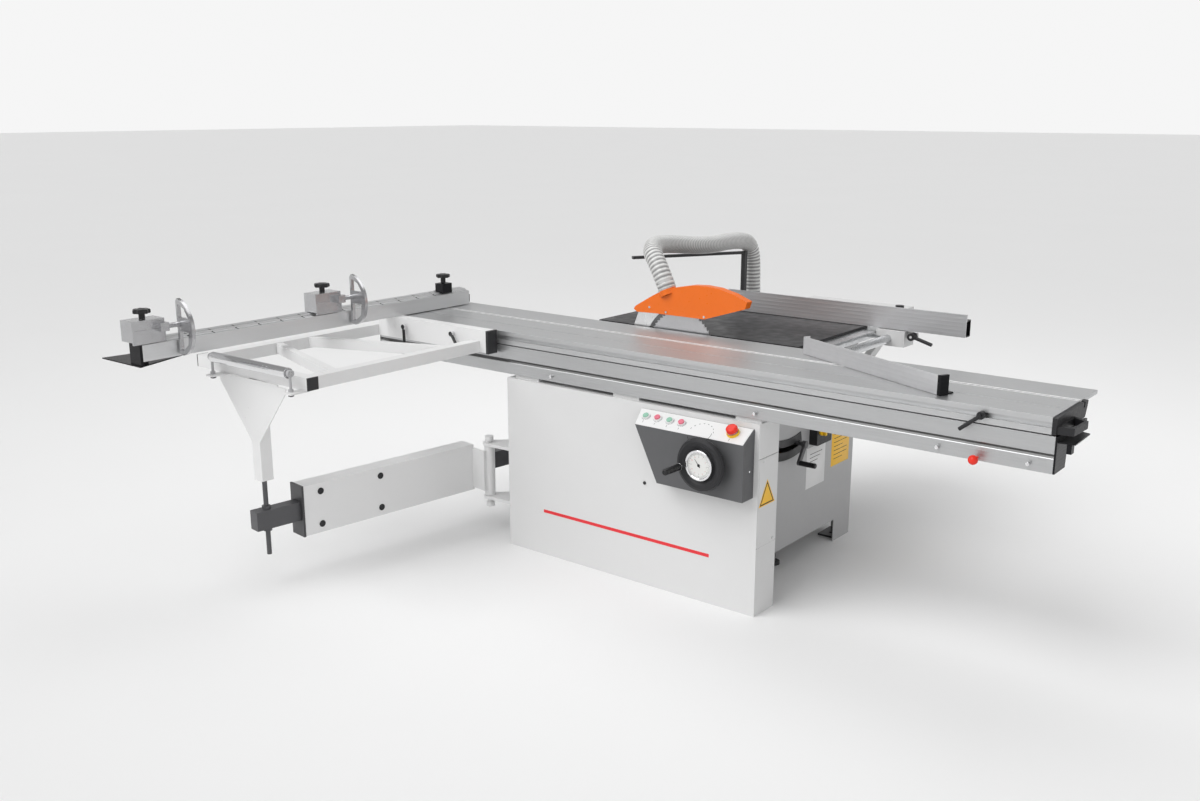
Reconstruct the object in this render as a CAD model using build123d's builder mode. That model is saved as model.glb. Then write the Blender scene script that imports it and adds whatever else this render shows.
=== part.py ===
"""Sliding-table panel saw, in millimetres.

+Z is up, +X runs along the sliding table towards the operator's end and +Y runs from the sliding table
towards the rip fence. The origin is on the floor, at the centre of the four floor fixing holes.
Plan positions below are measured from the front right-hand bottom corner of the front cabinet.
"""
from build123d import *
import math
import os

# ---- heights and overall sizes -----------------------------------------------------------------------
TABLE_H = 880.0        # top of the sliding carriage
FIX_X = 865.0          # spacing of the floor fixing holes along X
FIX_Y = 848.0          # spacing of the floor fixing holes along Y
FIX_R = 7.0            # radius of a floor fixing hole
FIX_FRONT = 66.0       # front fixing holes, behind the front face
FIX_RIGHT = 180.0      # right fixing holes, inside the right face
CAB_L = 1156.0         # front cabinet, length
CAB_D = 132.0          # front cabinet, depth
CAB_H = 699.0          # front cabinet, height
SHEET = 2.5            # wall of the cabinets
REAR_X0 = -1090.0      # rear cabinet, left face
REAR_X1 = -135.0       # rear cabinet, right face
REAR_Y1 = 985.0        # rear cabinet, back face
REAR_Z0 = 94.0         # rear cabinet, bottom edge
LEG_W = 140.0          # width of a rear leg along Y
GAP = 0.5              # gap between pieces that slide past each other

FX = FIX_RIGHT + FIX_X / 2
FY = -(FIX_FRONT + FIX_Y / 2)

# ---- sliding table -------------------------------------------------------------------------------------
BEAM_X0 = -1908.0
BEAM_X1 = 963.0
BEAM_Z0 = 712.0        # underside of the beam
BEAM_Z1 = 824.0        # top of the beam
FRONT_Y = 11.0         # front face of beam and carriage
CAR_X0 = -1850.0
CAR_X1 = 950.0
CAR_Z0 = 828.0         # underside of the carriage
CAR_Y1 = 436.0         # back edge of the carriage's lip
BODY_Y1 = 300.0        # back of the carriage's hollow body
LIP_T = 12.0           # thickness of the lip
SLOT_Y = 265.0         # middle of the top T-slot
SLOT_W = 12.0          # mouth of the T-slots
CAP_T = 13.0           # thickness of the black end plates
CAGE_L = 1200.0        # length of the ball cage

# ---- main table ----------------------------------------------------------------------------------------
TAB_X0 = -1054.0
TAB_X1 = -120.0
TAB_Y0 = 458.0
TAB_Y1 = 1030.0
TAB_TOP = TABLE_H - 1.0
TAB_D = 41.0           # depth of the casting's rim
TAB_T = 12.0           # thickness of the casting's top
TAB_Z0 = TAB_TOP - TAB_D
EXT_X0 = -660.0
EXT_X1 = -165.0
EXT_Y1 = 1580.0

# ---- saw unit ------------------------------------------------------------------------------------------
BLADE_R = 157.5
BLADE_T = 3.2
BLADE_X = -636.0
BLADE_Y = 452.0        # middle plane of the blade
BLADE_Z = 803.5        # blade centre at full height
ARBOR_R = 15.0
FIT = 0.05             # radial clearance of a running fit
PIVOT_Y = BLADE_Y - BLADE_T / 2
PIVOT_Z = TABLE_H
TRUN_R0 = 70.0
TRUN_R1 = 110.0
CRANK_R = 390.0        # distance of the crank shaft from the tilt axis
CRANK_A = 9.5          # angle of the crank shaft from straight down, towards +Y
CRANK_Y = PIVOT_Y + CRANK_R * math.sin(math.radians(CRANK_A))
CRANK_Z = PIVOT_Z - CRANK_R * math.cos(math.radians(CRANK_A))
SHAFT_R = 8.0
WHEEL_X = -165.0
WHEEL_Z = 553.0
WHEEL_R = 95.0
GUIDE_R = 15.0
GUIDE_Y = 560.0

# ---- outrigger and swing arm ---------------------------------------------------------------------------
OUT_X0 = -1900.0
OUT_X1 = -1258.0
OUT_Y0 = -890.0
OUT_Z0 = 795.0
TUBE = 46.0            # width of the outrigger's tubes
TUBE_H = 45.0
WALL = 3.0
IN_X1 = -1222.0
IN_H = 89.0
LEG_S = 48.0
LEG_Z0 = 415.0
ARM_Z = 266.0          # middle height of the swing arm
ARM_H = 196.0
ARM_W = 78.0
HINGE_X = -CAB_L - 180
HINGE_Y = 76.0
ARM_OFF = 110.0        # distance of the arm's middle plane from the hinge pin
ARM_A = 7.05           # angle of the arm from -Y, towards -X
TELE_W = 50.0
TELE_H = 72.0
ROD_R = 9.0

# ---- crosscut fence and rip fence ----------------------------------------------------------------------
CF_X = -1745.0         # working face of the crosscut fence
CF_W = 62.0
CF_Z0 = TABLE_H + 4.0
CF_H = 58.0
CF_Y0 = -1198.0
CF_Y1 = 392.0
RF_Y = 1000.0          # working face of the rip fence
RF_X0 = -768.0
RF_X1 = 300.0
RF_H = 88.0
RAIL_X = -12.0
RAIL_Z = 842.0
RAIL_R = 18.0
HOSE_D = 75.0


def block(x0, x1, y0, y1, z0, z1, mode=Mode.ADD):
    """A box between plan positions and heights."""
    with Locations((FX + (x0 + x1) / 2, FY + (y0 + y1) / 2, (z0 + z1) / 2)):
        Box(abs(x1 - x0), abs(y1 - y0), abs(z1 - z0), mode=mode)


def rod(x, y, z, axis, r, length, mode=Mode.ADD):
    """A round bar that starts at a plan position and runs along axis."""
    start = Plane(origin=(FX + x, FY + y, z), z_dir=axis)
    with Locations(start):
        Cylinder(r, length, align=(Align.CENTER, Align.CENTER, Align.MIN), mode=mode)


def xz_plane(y):
    """Sketch plane facing the front: local x is X and local y is Z."""
    return Plane(origin=(FX, FY + y, 0), x_dir=(1, 0, 0), z_dir=(0, -1, 0))


def yz_plane(x):
    """Sketch plane facing the operator's end: local x is Y and local y is Z."""
    return Plane(origin=(FX + x, FY, 0), x_dir=(0, 1, 0), z_dir=(1, 0, 0))


def xy_plane(z):
    """Sketch plane facing up."""
    return Plane(origin=(FX, FY, z), x_dir=(1, 0, 0), z_dir=(0, 0, 1))


def arc_point(r, angle):
    """Point at radius r about the tilt axis, angle in degrees from straight down towards +Y."""
    a = math.radians(angle)
    return (PIVOT_Y + r * math.sin(a), PIVOT_Z - r * math.cos(a))


def ring_sector(r0, r1, a0, a1):
    """Outline of a sector of a ring about the tilt axis, drawn on a yz plane."""
    mid = (a0 + a1) / 2
    with BuildLine() as outline:
        ThreePointArc(arc_point(r1, a0), arc_point(r1, mid), arc_point(r1, a1))
        Line(arc_point(r1, a1), arc_point(r0, a1))
        ThreePointArc(arc_point(r0, a1), arc_point(r0, mid), arc_point(r0, a0))
        Line(arc_point(r0, a0), arc_point(r1, a0))
    make_face(outline.edges())


def polygon(points, mode=Mode.ADD):
    """A closed outline through points, in the sketch's own coordinates."""
    Polygon(*points, align=None, mode=mode)


# ======================================== cabinets ======================================================
with BuildPart() as front_cabinet:
    block(-CAB_L, 0, 0, CAB_D, 0, CAB_H)
    block(-CAB_L + SHEET, -SHEET, SHEET, CAB_D, 0, CAB_H - SHEET, Mode.SUBTRACT)
    rod(WHEEL_X, -5, WHEEL_Z, (0, 1, 0), 10 + FIT, 20, Mode.SUBTRACT)
    for x0, x1 in ((-CAB_L + 30, -CAB_L + 150), (-640, -520), (-108, -6)):
        block(x0, x1, 18, 104, CAB_H, BEAM_Z0)

with BuildPart() as side_cover:
    block(0, 1.5, 7, CAB_D - 7, 254, 574)
    for y, z in ((34, 562), (20, 266), (106, 266)):
        rod(1.5, y, z, (1, 0, 0), 5, 2.5)


LEFT_LEG = (REAR_X0, REAR_X0 + 80)
RIGHT_LEG = (REAR_X1 - 80, REAR_X1)
with BuildPart() as rear_cabinet:
    with BuildSketch(yz_plane(REAR_X0)):
        polygon([(CAB_D, REAR_Z0), (REAR_Y1, REAR_Z0), (REAR_Y1, TAB_Z0), (440, TAB_Z0), (440, CAB_H),
                 (CAB_D, CAB_H)])
    extrude(amount=REAR_X1 - REAR_X0)
    with BuildSketch(yz_plane(REAR_X0 + SHEET)):
        polygon([(CAB_D + SHEET, REAR_Z0 + SHEET), (REAR_Y1 - SHEET, REAR_Z0 + SHEET),
                 (REAR_Y1 - SHEET, TAB_Z0 + 5), (440 - SHEET, TAB_Z0 + 5), (440 - SHEET, CAB_H + 5),
                 (CAB_D + SHEET, CAB_H + 5)])
    extrude(amount=REAR_X1 - REAR_X0 - 2 * SHEET, mode=Mode.SUBTRACT)
    block(REAR_X0 + SHEET, REAR_X1 - SHEET, 430, 450, CAB_H - 1, TAB_Z0 + 5, Mode.SUBTRACT)
    for x0, x1, skin in ((*LEFT_LEG, REAR_X0), (*RIGHT_LEG, REAR_X1 - SHEET)):
        block(x0, x1, REAR_Y1 - SHEET, REAR_Y1, 0, REAR_Z0)
        block(skin, skin + SHEET, REAR_Y1 - LEG_W, REAR_Y1, 0, REAR_Z0)
    with BuildSketch(yz_plane(REAR_X1 - SHEET - 1)):
        ring_sector(CRANK_R - 14, CRANK_R + 14, -37, CRANK_A + 3)
    extrude(amount=SHEET + 2, mode=Mode.SUBTRACT)
    block(WHEEL_X - 35, REAR_X1 - SHEET, CAB_D + SHEET, 200, WHEEL_Z - 32, WHEEL_Z + 32)
    rod(WHEEL_X, CAB_D - 1, WHEEL_Z, (0, 1, 0), 10 + FIT, 61, Mode.SUBTRACT)
    rod(-835, REAR_Y1 - SHEET, 500, (0, 1, 0), HOSE_D / 2 - 2.5, 40)
    rod(-835, REAR_Y1 - 10, 500, (0, 1, 0), HOSE_D / 2 - 8.5, 60, Mode.SUBTRACT)

with BuildPart() as base_feet:
    for x in (-FIX_RIGHT, -FIX_RIGHT - FIX_X):
        block(x - 38, x + 38, SHEET, FIX_FRONT + 40, 0, 8)
        block(x - 38, x + 38 if x < -500 else REAR_X1 - SHEET, FIX_FRONT + FIX_Y - 40, REAR_Y1 - SHEET, 0, 8)
        for y in (FIX_FRONT, FIX_FRONT + FIX_Y):
            rod(x, y, -1, (0, 0, 1), FIX_R, 12, Mode.SUBTRACT)
    rod(-205, 480, 12, (0, 0, 1), 10, REAR_Z0 - 12)
    rod(-205, 480, 0, (0, 0, 1), 28, 12)

# ======================================== control box ===================================================
BOX_D = 70.0
BOX_Z0 = 436.0
BOX_Z1 = 637.0
BOX_TOP = 680.0
SLOPE = Plane(origin=(FX, FY - BOX_D, BOX_Z1), x_dir=(1, 0, 0), z_dir=(0, -(BOX_TOP - BOX_Z1), BOX_D))
SLOPE_L = math.hypot(BOX_D, BOX_TOP - BOX_Z1)
BUTTONS = (-449.0, -398.0, -346.0, -295.0)
BUTTON_V = 44.0
ESTOP = (-84.0, 45.0)
PLATE_T = 1.5

with BuildPart() as control_box:
    with BuildSketch(yz_plane(-19)):
        polygon([(0, BOX_Z0), (-BOX_D, BOX_Z0), (-BOX_D, BOX_Z1), (0, BOX_TOP)])
    extrude(amount=-500)
    with BuildSketch(xz_plane(10)):
        polygon([(-374, BOX_Z0 - 1), (-18, BOX_Z0 - 1), (-18, 700), (-503, 700)])
    extrude(amount=BOX_D + 20, mode=Mode.INTERSECT)
    offset(amount=-SHEET, openings=control_box.faces().sort_by(Axis.Y)[-1])
    rod(WHEEL_X, -BOX_D - 5, WHEEL_Z, (0, 1, 0), 10 + FIT, 20, Mode.SUBTRACT)

with BuildPart() as button_plate:
    with BuildSketch(SLOPE):
        polygon([(-472, 1), (-23, 1), (-23, SLOPE_L - 2), (-492, SLOPE_L - 2)])
    extrude(amount=PLATE_T)
    with BuildSketch(SLOPE.offset(PLATE_T)):
        with Locations(*[(x, BUTTON_V) for x in BUTTONS]):
            Circle(15)
            Circle(11, mode=Mode.SUBTRACT)
        with Locations(ESTOP):
            Circle(20)
            Circle(11, mode=Mode.SUBTRACT)
    extrude(amount=7)

with BuildPart() as button_start_main:
    with BuildSketch(SLOPE.offset(PLATE_T + 4.5)):
        with Locations((BUTTONS[0], BUTTON_V)):
            Circle(10.7)
    extrude(amount=5.5)

with BuildPart() as button_stop_main:
    with BuildSketch(SLOPE.offset(PLATE_T + 4.5)):
        with Locations((BUTTONS[1], BUTTON_V)):
            Circle(10.7)
    extrude(amount=7.5)

with BuildPart() as button_start_scoring:
    with BuildSketch(SLOPE.offset(PLATE_T + 4.5)):
        with Locations((BUTTONS[2], BUTTON_V)):
            Circle(10.7)
    extrude(amount=5.5)

with BuildPart() as button_stop_scoring:
    with BuildSketch(SLOPE.offset(PLATE_T + 4.5)):
        with Locations((BUTTONS[3], BUTTON_V)):
            Circle(10.7)
    extrude(amount=7.5)

with BuildPart() as estop_button:
    with BuildSketch(SLOPE.offset(PLATE_T + 6)):
        with Locations(ESTOP):
            Circle(10.7)
    extrude(amount=14)
    with BuildSketch(SLOPE.offset(PLATE_T + 16)):
        with Locations(ESTOP):
            Circle(21)
    extrude(amount=14)
    fillet(estop_button.faces().sort_by(Axis(SLOPE.origin, SLOPE.z_dir))[-1].edges(), 8)

# ======================================== handwheel and crank ===========================================
WHEEL_Y = -107.0
GRIP_A = 192.0
GRIP_X = WHEEL_X + 76 * math.cos(math.radians(GRIP_A))
GRIP_Z = WHEEL_Z + 76 * math.sin(math.radians(GRIP_A))

with BuildPart() as handwheel:
    with BuildSketch(Plane(origin=(FX + WHEEL_X, FY + WHEEL_Y, WHEEL_Z), x_dir=(1, 0, 0), z_dir=(0, 0, 1))):
        with BuildLine():
            Polyline((12, 12), (56, 12), (62, 4), (70, 8), (82, 12), (91, 9), (WHEEL_R, 0), (91, -9), (82, -13),
                     (70, -10), (60, -4), (56, 0), (12, 0), close=True)
        make_face()
    revolve(axis=Axis((FX + WHEEL_X, FY, WHEEL_Z), (0, 1, 0)))
    rod(WHEEL_X, WHEEL_Y, WHEEL_Z, (0, 1, 0), 12.5, 34)
    rod(GRIP_X, WHEEL_Y - 34, GRIP_Z, (0, 1, 0), 5, 34)
    rod(WHEEL_X, WHEEL_Y - 1, WHEEL_Z, (0, 1, 0), 10, 50, Mode.SUBTRACT)

with BuildPart() as wheel_grip:
    rod(GRIP_X, WHEEL_Y - 110, GRIP_Z, (0, 1, 0), 12, 92)
    fillet(wheel_grip.faces().sort_by(Axis.Y)[0].edges(), 6)
    rod(GRIP_X, WHEEL_Y - 34.5, GRIP_Z, (0, 1, 0), 5 + FIT, 40, Mode.SUBTRACT)

with BuildPart() as tilt_shaft:
    rod(WHEEL_X, WHEEL_Y - 14, WHEEL_Z, (0, 1, 0), 54, 14)
    rod(WHEEL_X, WHEEL_Y - 15, WHEEL_Z, (0, 1, 0), 44, 4, Mode.SUBTRACT)
    rod(WHEEL_X, WHEEL_Y - 1, WHEEL_Z, (0, 1, 0), 10, 191 - WHEEL_Y)

with BuildPart() as crank:
    rod(-110, CRANK_Y, CRANK_Z, (-1, 0, 0), SHAFT_R, 390)
    rod(-112, CRANK_Y, CRANK_Z, (1, 0, 0), 14, 16)
    CRANK_END = (CRANK_Y - 42, CRANK_Z - 63)
    with BuildSketch(yz_plane(-108)):
        with Locations((CRANK_Y - 21, CRANK_Z - 31.5)):
            SlotCenterToCenter(75.7, 20, rotation=math.degrees(math.atan2(63, 42)))
    extrude(amount=10)
    rod(-98, *CRANK_END, (1, 0, 0), 5, 34)

with BuildPart() as crank_grip:
    rod(-97.5, *CRANK_END, (1, 0, 0), 10, 66)
    fillet(crank_grip.faces().sort_by(Axis.X)[-1].edges(), 4)
    rod(-98, *CRANK_END, (1, 0, 0), 5 + FIT, 36, Mode.SUBTRACT)

with BuildPart() as tilt_shield:
    with BuildSketch(yz_plane(REAR_X1)):
        ring_sector(CRANK_R - 38, CRANK_R + 42, -52, CRANK_A + 4)
    extrude(amount=3)
    with BuildSketch(yz_plane(REAR_X1)):
        ring_sector(CRANK_R - 10, CRANK_R + 10, -36.8, CRANK_A + 1.4)
    extrude(amount=3, mode=Mode.SUBTRACT)

with BuildPart() as main_switch_plate:
    block(REAR_X1, REAR_X1 + 34, 606, 724, 467, 572)
    fillet(main_switch_plate.edges().filter_by(Axis.X), 6)

SWITCH = (642.0, 528.0)
with BuildPart() as main_switch_knob:
    rod(REAR_X1 + 34 + GAP, *SWITCH, (1, 0, 0), 24, 6)
    block(REAR_X1 + 40, REAR_X1 + 54, SWITCH[0] - 6, SWITCH[0] + 6, SWITCH[1] - 22, SWITCH[1] + 22)

# ======================================== main table ====================================================
NOTCH_X = (-735.0, -540.0)
with BuildPart() as main_table:
    block(TAB_X0, TAB_X1, TAB_Y0, TAB_Y1, TAB_Z0, TAB_TOP)
    RIM_Z = TAB_TOP - TAB_T
    block(TAB_X0 + 40, TAB_X1 - 26, TAB_Y0 + 12, TAB_Y1 - 55, TAB_Z0, RIM_Z, Mode.SUBTRACT)
    block(*NOTCH_X, TAB_Y0, TAB_Y0 + 12, TAB_Z0, RIM_Z, Mode.SUBTRACT)
    for x in (-905, -345):
        block(x - 5, x + 5, TAB_Y0 + 12, TAB_Y1 - 55, TAB_Z0 + 6, RIM_Z)
    block(-905, -345, 760, 770, TAB_Z0 + 6, RIM_Z)

with BuildPart() as extension_table:
    block(EXT_X0, EXT_X1, TAB_Y1, EXT_Y1, TAB_TOP - 30, TAB_TOP)
    block(EXT_X0 + 2, EXT_X1 - 2, TAB_Y1 + 2, EXT_Y1 - 2, TAB_TOP - 30, TAB_TOP - 2, Mode.SUBTRACT)
    for x in (EXT_X0 + 60, EXT_X1 - 60):
        with BuildSketch(yz_plane(x - 15)):
            polygon([(REAR_Y1, 560), (REAR_Y1, 520), (EXT_Y1 - 2, TAB_TOP - 48), (EXT_Y1 - 2, TAB_TOP - 2),
                     (EXT_Y1 - 40, TAB_TOP - 2), (EXT_Y1 - 40, TAB_TOP - 30)])
        extrude(amount=30)

# ======================================== sliding table =================================================
BEAM_HOLE_Z = 733.0
with BuildPart() as beam:
    with BuildSketch(yz_plane(BEAM_X0)):
        polygon([(FRONT_Y, BEAM_Z0), (105, BEAM_Z0), (112, 785), (285, 812), (285, BEAM_Z1), (240, BEAM_Z1),
                 (240, 818), (60, 800), (60, BEAM_Z1), (FRONT_Y, BEAM_Z1), (FRONT_Y, 772), (FRONT_Y + 5, 764),
                 (FRONT_Y, 756)])
        polygon([(FRONT_Y + 12, BEAM_Z0 + 7), (98, BEAM_Z0 + 7), (103, 780), (90, 790), (FRONT_Y + 12, 784)],
                mode=Mode.SUBTRACT)
    extrude(amount=BEAM_X1 - BEAM_X0)
    for x, t in ((BEAM_X0, -4), (BEAM_X1, 6)):
        with BuildSketch(yz_plane(x)):
            polygon([(FRONT_Y, BEAM_Z0), (105, BEAM_Z0), (112, 785), (285, 812), (285, BEAM_Z1),
                     (FRONT_Y, BEAM_Z1)])
        extrude(amount=t)
    for x in (-931, -26, 618, 894):
        rod(x, FRONT_Y, BEAM_HOLE_Z, (0, -1, 0), 6, 5)
    with BuildSketch(xy_plane(804)):
        polygon([(BEAM_X1 + 6, 20), (BEAM_X1 + 53, 26), (BEAM_X1 + 50, 170), (BEAM_X1 + 6, 185)])
    extrude(amount=4)
    block(BEAM_X1 + 26, BEAM_X1 + 40, 36, 60, 772, 804)

with BuildPart() as ball_cage:
    X0 = (BEAM_X0 + BEAM_X1 - CAGE_L) / 2
    block(X0, X0 + CAGE_L, 246, 276, BEAM_Z1 + 1.2, CAR_Z0 - 1.2)
    block(X0, X0 + CAGE_L, 24, 50, BEAM_Z1 + 1.2, CAR_Z0 - 1.2)
    for i in range(4):
        block(X0 + i * (CAGE_L - 30) / 3, X0 + i * (CAGE_L - 30) / 3 + 30, 50, 246, BEAM_Z1 + 1.2, CAR_Z0 - 1.2)

CAR_T = 5.0
with BuildPart() as carriage:
    with BuildSketch(yz_plane(CAR_X0)):
        polygon([(FRONT_Y, CAR_Z0), (BODY_Y1 - 18, CAR_Z0), (BODY_Y1, TABLE_H - LIP_T), (CAR_Y1, TABLE_H - LIP_T),
                 (CAR_Y1, TABLE_H), (FRONT_Y, TABLE_H)])
        polygon([(FRONT_Y, 847), (FRONT_Y + 18, 844), (FRONT_Y + 18, 866), (FRONT_Y, 863)], mode=Mode.SUBTRACT)
        for y0, y1 in ((FRONT_Y + 24, 130), (136, SLOT_Y - 22), (SLOT_Y + 20, BODY_Y1 - 10)):
            polygon([(y0, CAR_Z0 + CAR_T), (y1, CAR_Z0 + CAR_T), (y1, TABLE_H - 7), (y0, TABLE_H - 7)],
                    mode=Mode.SUBTRACT)
        with Locations((SLOT_Y, TABLE_H - 3)):
            Rectangle(SLOT_W, 8, mode=Mode.SUBTRACT)
        with Locations((SLOT_Y, TABLE_H - 12)):
            Rectangle(24, 12, mode=Mode.SUBTRACT)
        with Locations((134.0, TABLE_H)):
            Rectangle(5, 3, mode=Mode.SUBTRACT)
    extrude(amount=CAR_X1 - CAR_X0)

HX = CAR_X1 + CAP_T
with BuildPart() as push_handle:
    with BuildSketch(yz_plane(CAR_X1)):
        polygon([(FRONT_Y, CAR_Z0), (BODY_Y1 - 18, CAR_Z0), (BODY_Y1, TABLE_H - LIP_T), (BODY_Y1, TABLE_H - 3),
                 (FRONT_Y, TABLE_H - 3)])
        with Locations((SLOT_Y, TABLE_H - 6)):
            Rectangle(SLOT_W, 30, mode=Mode.SUBTRACT)
    extrude(amount=CAP_T)
    with BuildSketch(xy_plane(CAR_Z0 + 1)):
        polygon([(HX, 18), (HX + 46, 28), (HX + 50, 140), (HX, 172)])
        polygon([(HX + 6, 38), (HX + 38, 46), (HX + 41, 132), (HX + 6, 154)], Mode.SUBTRACT)
    extrude(amount=23)

with BuildPart() as slot_lever:
    rod(748, FRONT_Y + 14, 855, (0, -1, 0), 5, 40)
    rod(748, FRONT_Y - 2, 855, (0, -1, 0), 12, 18)
    with Locations(Plane(origin=(FX + 748, FY + FRONT_Y - 14, 855), z_dir=(-48, -8, -40))):
        Cylinder(6, 78, align=(Align.CENTER, Align.CENTER, Align.MIN))

with BuildPart() as lock_knob:
    rod(742, FRONT_Y - 1.2, 722, (0, -1, 0), 5, 26)
    with Locations((FX + 742, FY + FRONT_Y - 34, 722)):
        Sphere(15)

AF0 = (-41.0, 353.0)
AF1 = (590.0, 56.0)
AF_A = math.degrees(math.atan2(AF1[1] - AF0[1], AF1[0] - AF0[0]))
AF_L = math.hypot(AF1[0] - AF0[0], AF1[1] - AF0[1])
AF_PLANE = Plane(origin=(FX + AF0[0], FY + AF0[1], TABLE_H + 1), z_dir=(0, 0, 1)).rotated((0, 0, AF_A))
with BuildPart() as angled_fence:
    with BuildSketch(AF_PLANE):
        polygon([(0, 0), (AF_L, 0), (AF_L, 26), (AF_L - 4, 26), (AF_L - 4, 4), (4, 4), (4, 26), (0, 26)])
    extrude(amount=62)
    with BuildSketch(AF_PLANE):
        polygon([(0, 4), (AF_L, 4), (AF_L, 60), (AF_L - 60, 60), (60, 40), (0, 26)])
    extrude(amount=4)
    with BuildSketch(AF_PLANE):
        polygon([(AF_L, -3), (AF_L + 10, -3), (AF_L + 10, 30), (AF_L, 30)])
    extrude(amount=64)

# ======================================== saw unit ======================================================
TRUN_X = ((-1040.0, -1020.0), (-205.0, -185.0))
LUG_X = (-760.0, -510.0)

with BuildPart() as trunnion_brackets:
    for x0, x1 in ((REAR_X0 + SHEET, TRUN_X[0][1] - 2), (TRUN_X[1][0] + 2, REAR_X1 - SHEET)):
        with BuildSketch(yz_plane(x0)):
            ring_sector(TRUN_R1 + 0.3, TRUN_R1 + 25, -30, 30)
        extrude(amount=x1 - x0)

with BuildPart() as tilt_frame:
    for x0, x1 in ((TRUN_X[0][0], TRUN_X[0][1] + 12), (TRUN_X[1][0] - 12, TRUN_X[1][1])):
        with BuildSketch(yz_plane(x0)):
            ring_sector(TRUN_R0, TRUN_R1, -5, 50)
        extrude(amount=x1 - x0)
    for x in (TRUN_X[0][1], TRUN_X[1][0] - 12):
        block(x, x + 12, 500, 524, 600, 806)
    block(TRUN_X[0][1], TRUN_X[1][0], 500, 512, 600, 820)
    block(-720, -552, 495, 515, 640, 821, Mode.SUBTRACT)
    block(-880, -800, 495, 515, 690, 821, Mode.SUBTRACT)
    for x in LUG_X:
        rod(x, GUIDE_Y, 570, (0, 0, 1), GUIDE_R, 250)
        for z in (560, 800):
            block(x - 25, x + 25, 500, GUIDE_Y + 22, z, z + 20)
    for x in (-230, -470):
        block(x - 8, x + 8, 500, CRANK_Y + 14, CRANK_Z - 20, 610)
        rod(x - 9, CRANK_Y, CRANK_Z, (1, 0, 0), SHAFT_R + FIT, 18, Mode.SUBTRACT)
    rod(-400, 470, 812, (0, 1, 0), 22, 31)
    rod(-400, 469, 812, (0, 1, 0), 8 + FIT, 50, Mode.SUBTRACT)

with BuildPart() as scoring_blade:
    rod(-400, PIVOT_Y, 812, (0, 1, 0), 60, BLADE_T)
    rod(-400, 440, 812, (0, 1, 0), 8, 58)
    rod(-400, PIVOT_Y + BLADE_T, 812, (0, 1, 0), 22, 10)

with BuildPart() as saw_carriage:
    block(-795, -475, GUIDE_Y - 25, GUIDE_Y + 25, 640, 760)
    block(-700, -572, GUIDE_Y - 25, GUIDE_Y + 25, 740, BLADE_Z)
    rod(BLADE_X, 470, BLADE_Z, (0, 1, 0), 40, 116)
    block(-868, -806, 453.4, GUIDE_Y + 25, 735, 760)
    block(-868, -795, 520, GUIDE_Y + 25, 735, 760)
    block(-868, -806, 453.4, 468, 735, 800)
    with BuildSketch(xz_plane(636)):
        with Locations((BLADE_X, BLADE_Z)):
            Circle(42)
        with Locations((BLADE_X, 600)):
            Circle(82)
        make_hull()
    extrude(amount=50)
    with BuildSketch(xz_plane(632)):
        with Locations((BLADE_X, BLADE_Z)):
            Circle(38)
        with Locations((BLADE_X, 600)):
            Circle(78)
        make_hull()
    extrude(amount=42, mode=Mode.SUBTRACT)
    rod(BLADE_X, 469, BLADE_Z, (0, 1, 0), ARBOR_R + FIT, 122, Mode.SUBTRACT)
    rod(BLADE_X, 631, 600, (0, 1, 0), 20, 6, Mode.SUBTRACT)
    for x in LUG_X:
        rod(x, GUIDE_Y, 639, (0, 0, 1), GUIDE_R + FIT, 122, Mode.SUBTRACT)

with BuildPart() as saw_motor:
    rod(BLADE_X, 636, 600, (0, 1, 0), 90, 250)
    rod(BLADE_X, 612, 600, (0, 1, 0), 12, 25)
    rod(BLADE_X, 600, 600, (0, 1, 0), 68, 22)
    block(BLADE_X - 60, BLADE_X + 60, 690, 860, 500, 540)

with BuildPart() as arbor:
    rod(BLADE_X, 430, BLADE_Z, (0, 1, 0), ARBOR_R, 190)
    rod(BLADE_X, 600, BLADE_Z, (0, 1, 0), 34, 22)
    rod(BLADE_X, PIVOT_Y + BLADE_T, BLADE_Z, (0, 1, 0), 45, 10)
    rod(BLADE_X, PIVOT_Y - 9, BLADE_Z, (0, 1, 0), 35, 9)
    rod(BLADE_X, PIVOT_Y - 20, BLADE_Z, (0, 1, 0), 20, 12)

with BuildPart() as saw_blade:
    rod(BLADE_X, PIVOT_Y, BLADE_Z, (0, 1, 0), BLADE_R, BLADE_T)
    rod(BLADE_X, PIVOT_Y - 1, BLADE_Z, (0, 1, 0), ARBOR_R + FIT, BLADE_T + 2, Mode.SUBTRACT)

KNIFE_T = 2.8
KNIFE_Y1 = 453.4
KNIFE_IN = BLADE_R + 14.0
with BuildPart() as riving_knife:
    with BuildSketch(xz_plane(KNIFE_Y1)):
        polygon([(-866, 742), (-808, 742), (-760, 880), (-740, 965), (-745, 990), (-790, 980), (-834, 952),
                 (-848, 930), (-868, 880), (-872, 800)])
        with Locations((BLADE_X, BLADE_Z)):
            Circle(KNIFE_IN, mode=Mode.SUBTRACT)
    extrude(amount=KNIFE_T)

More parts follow.
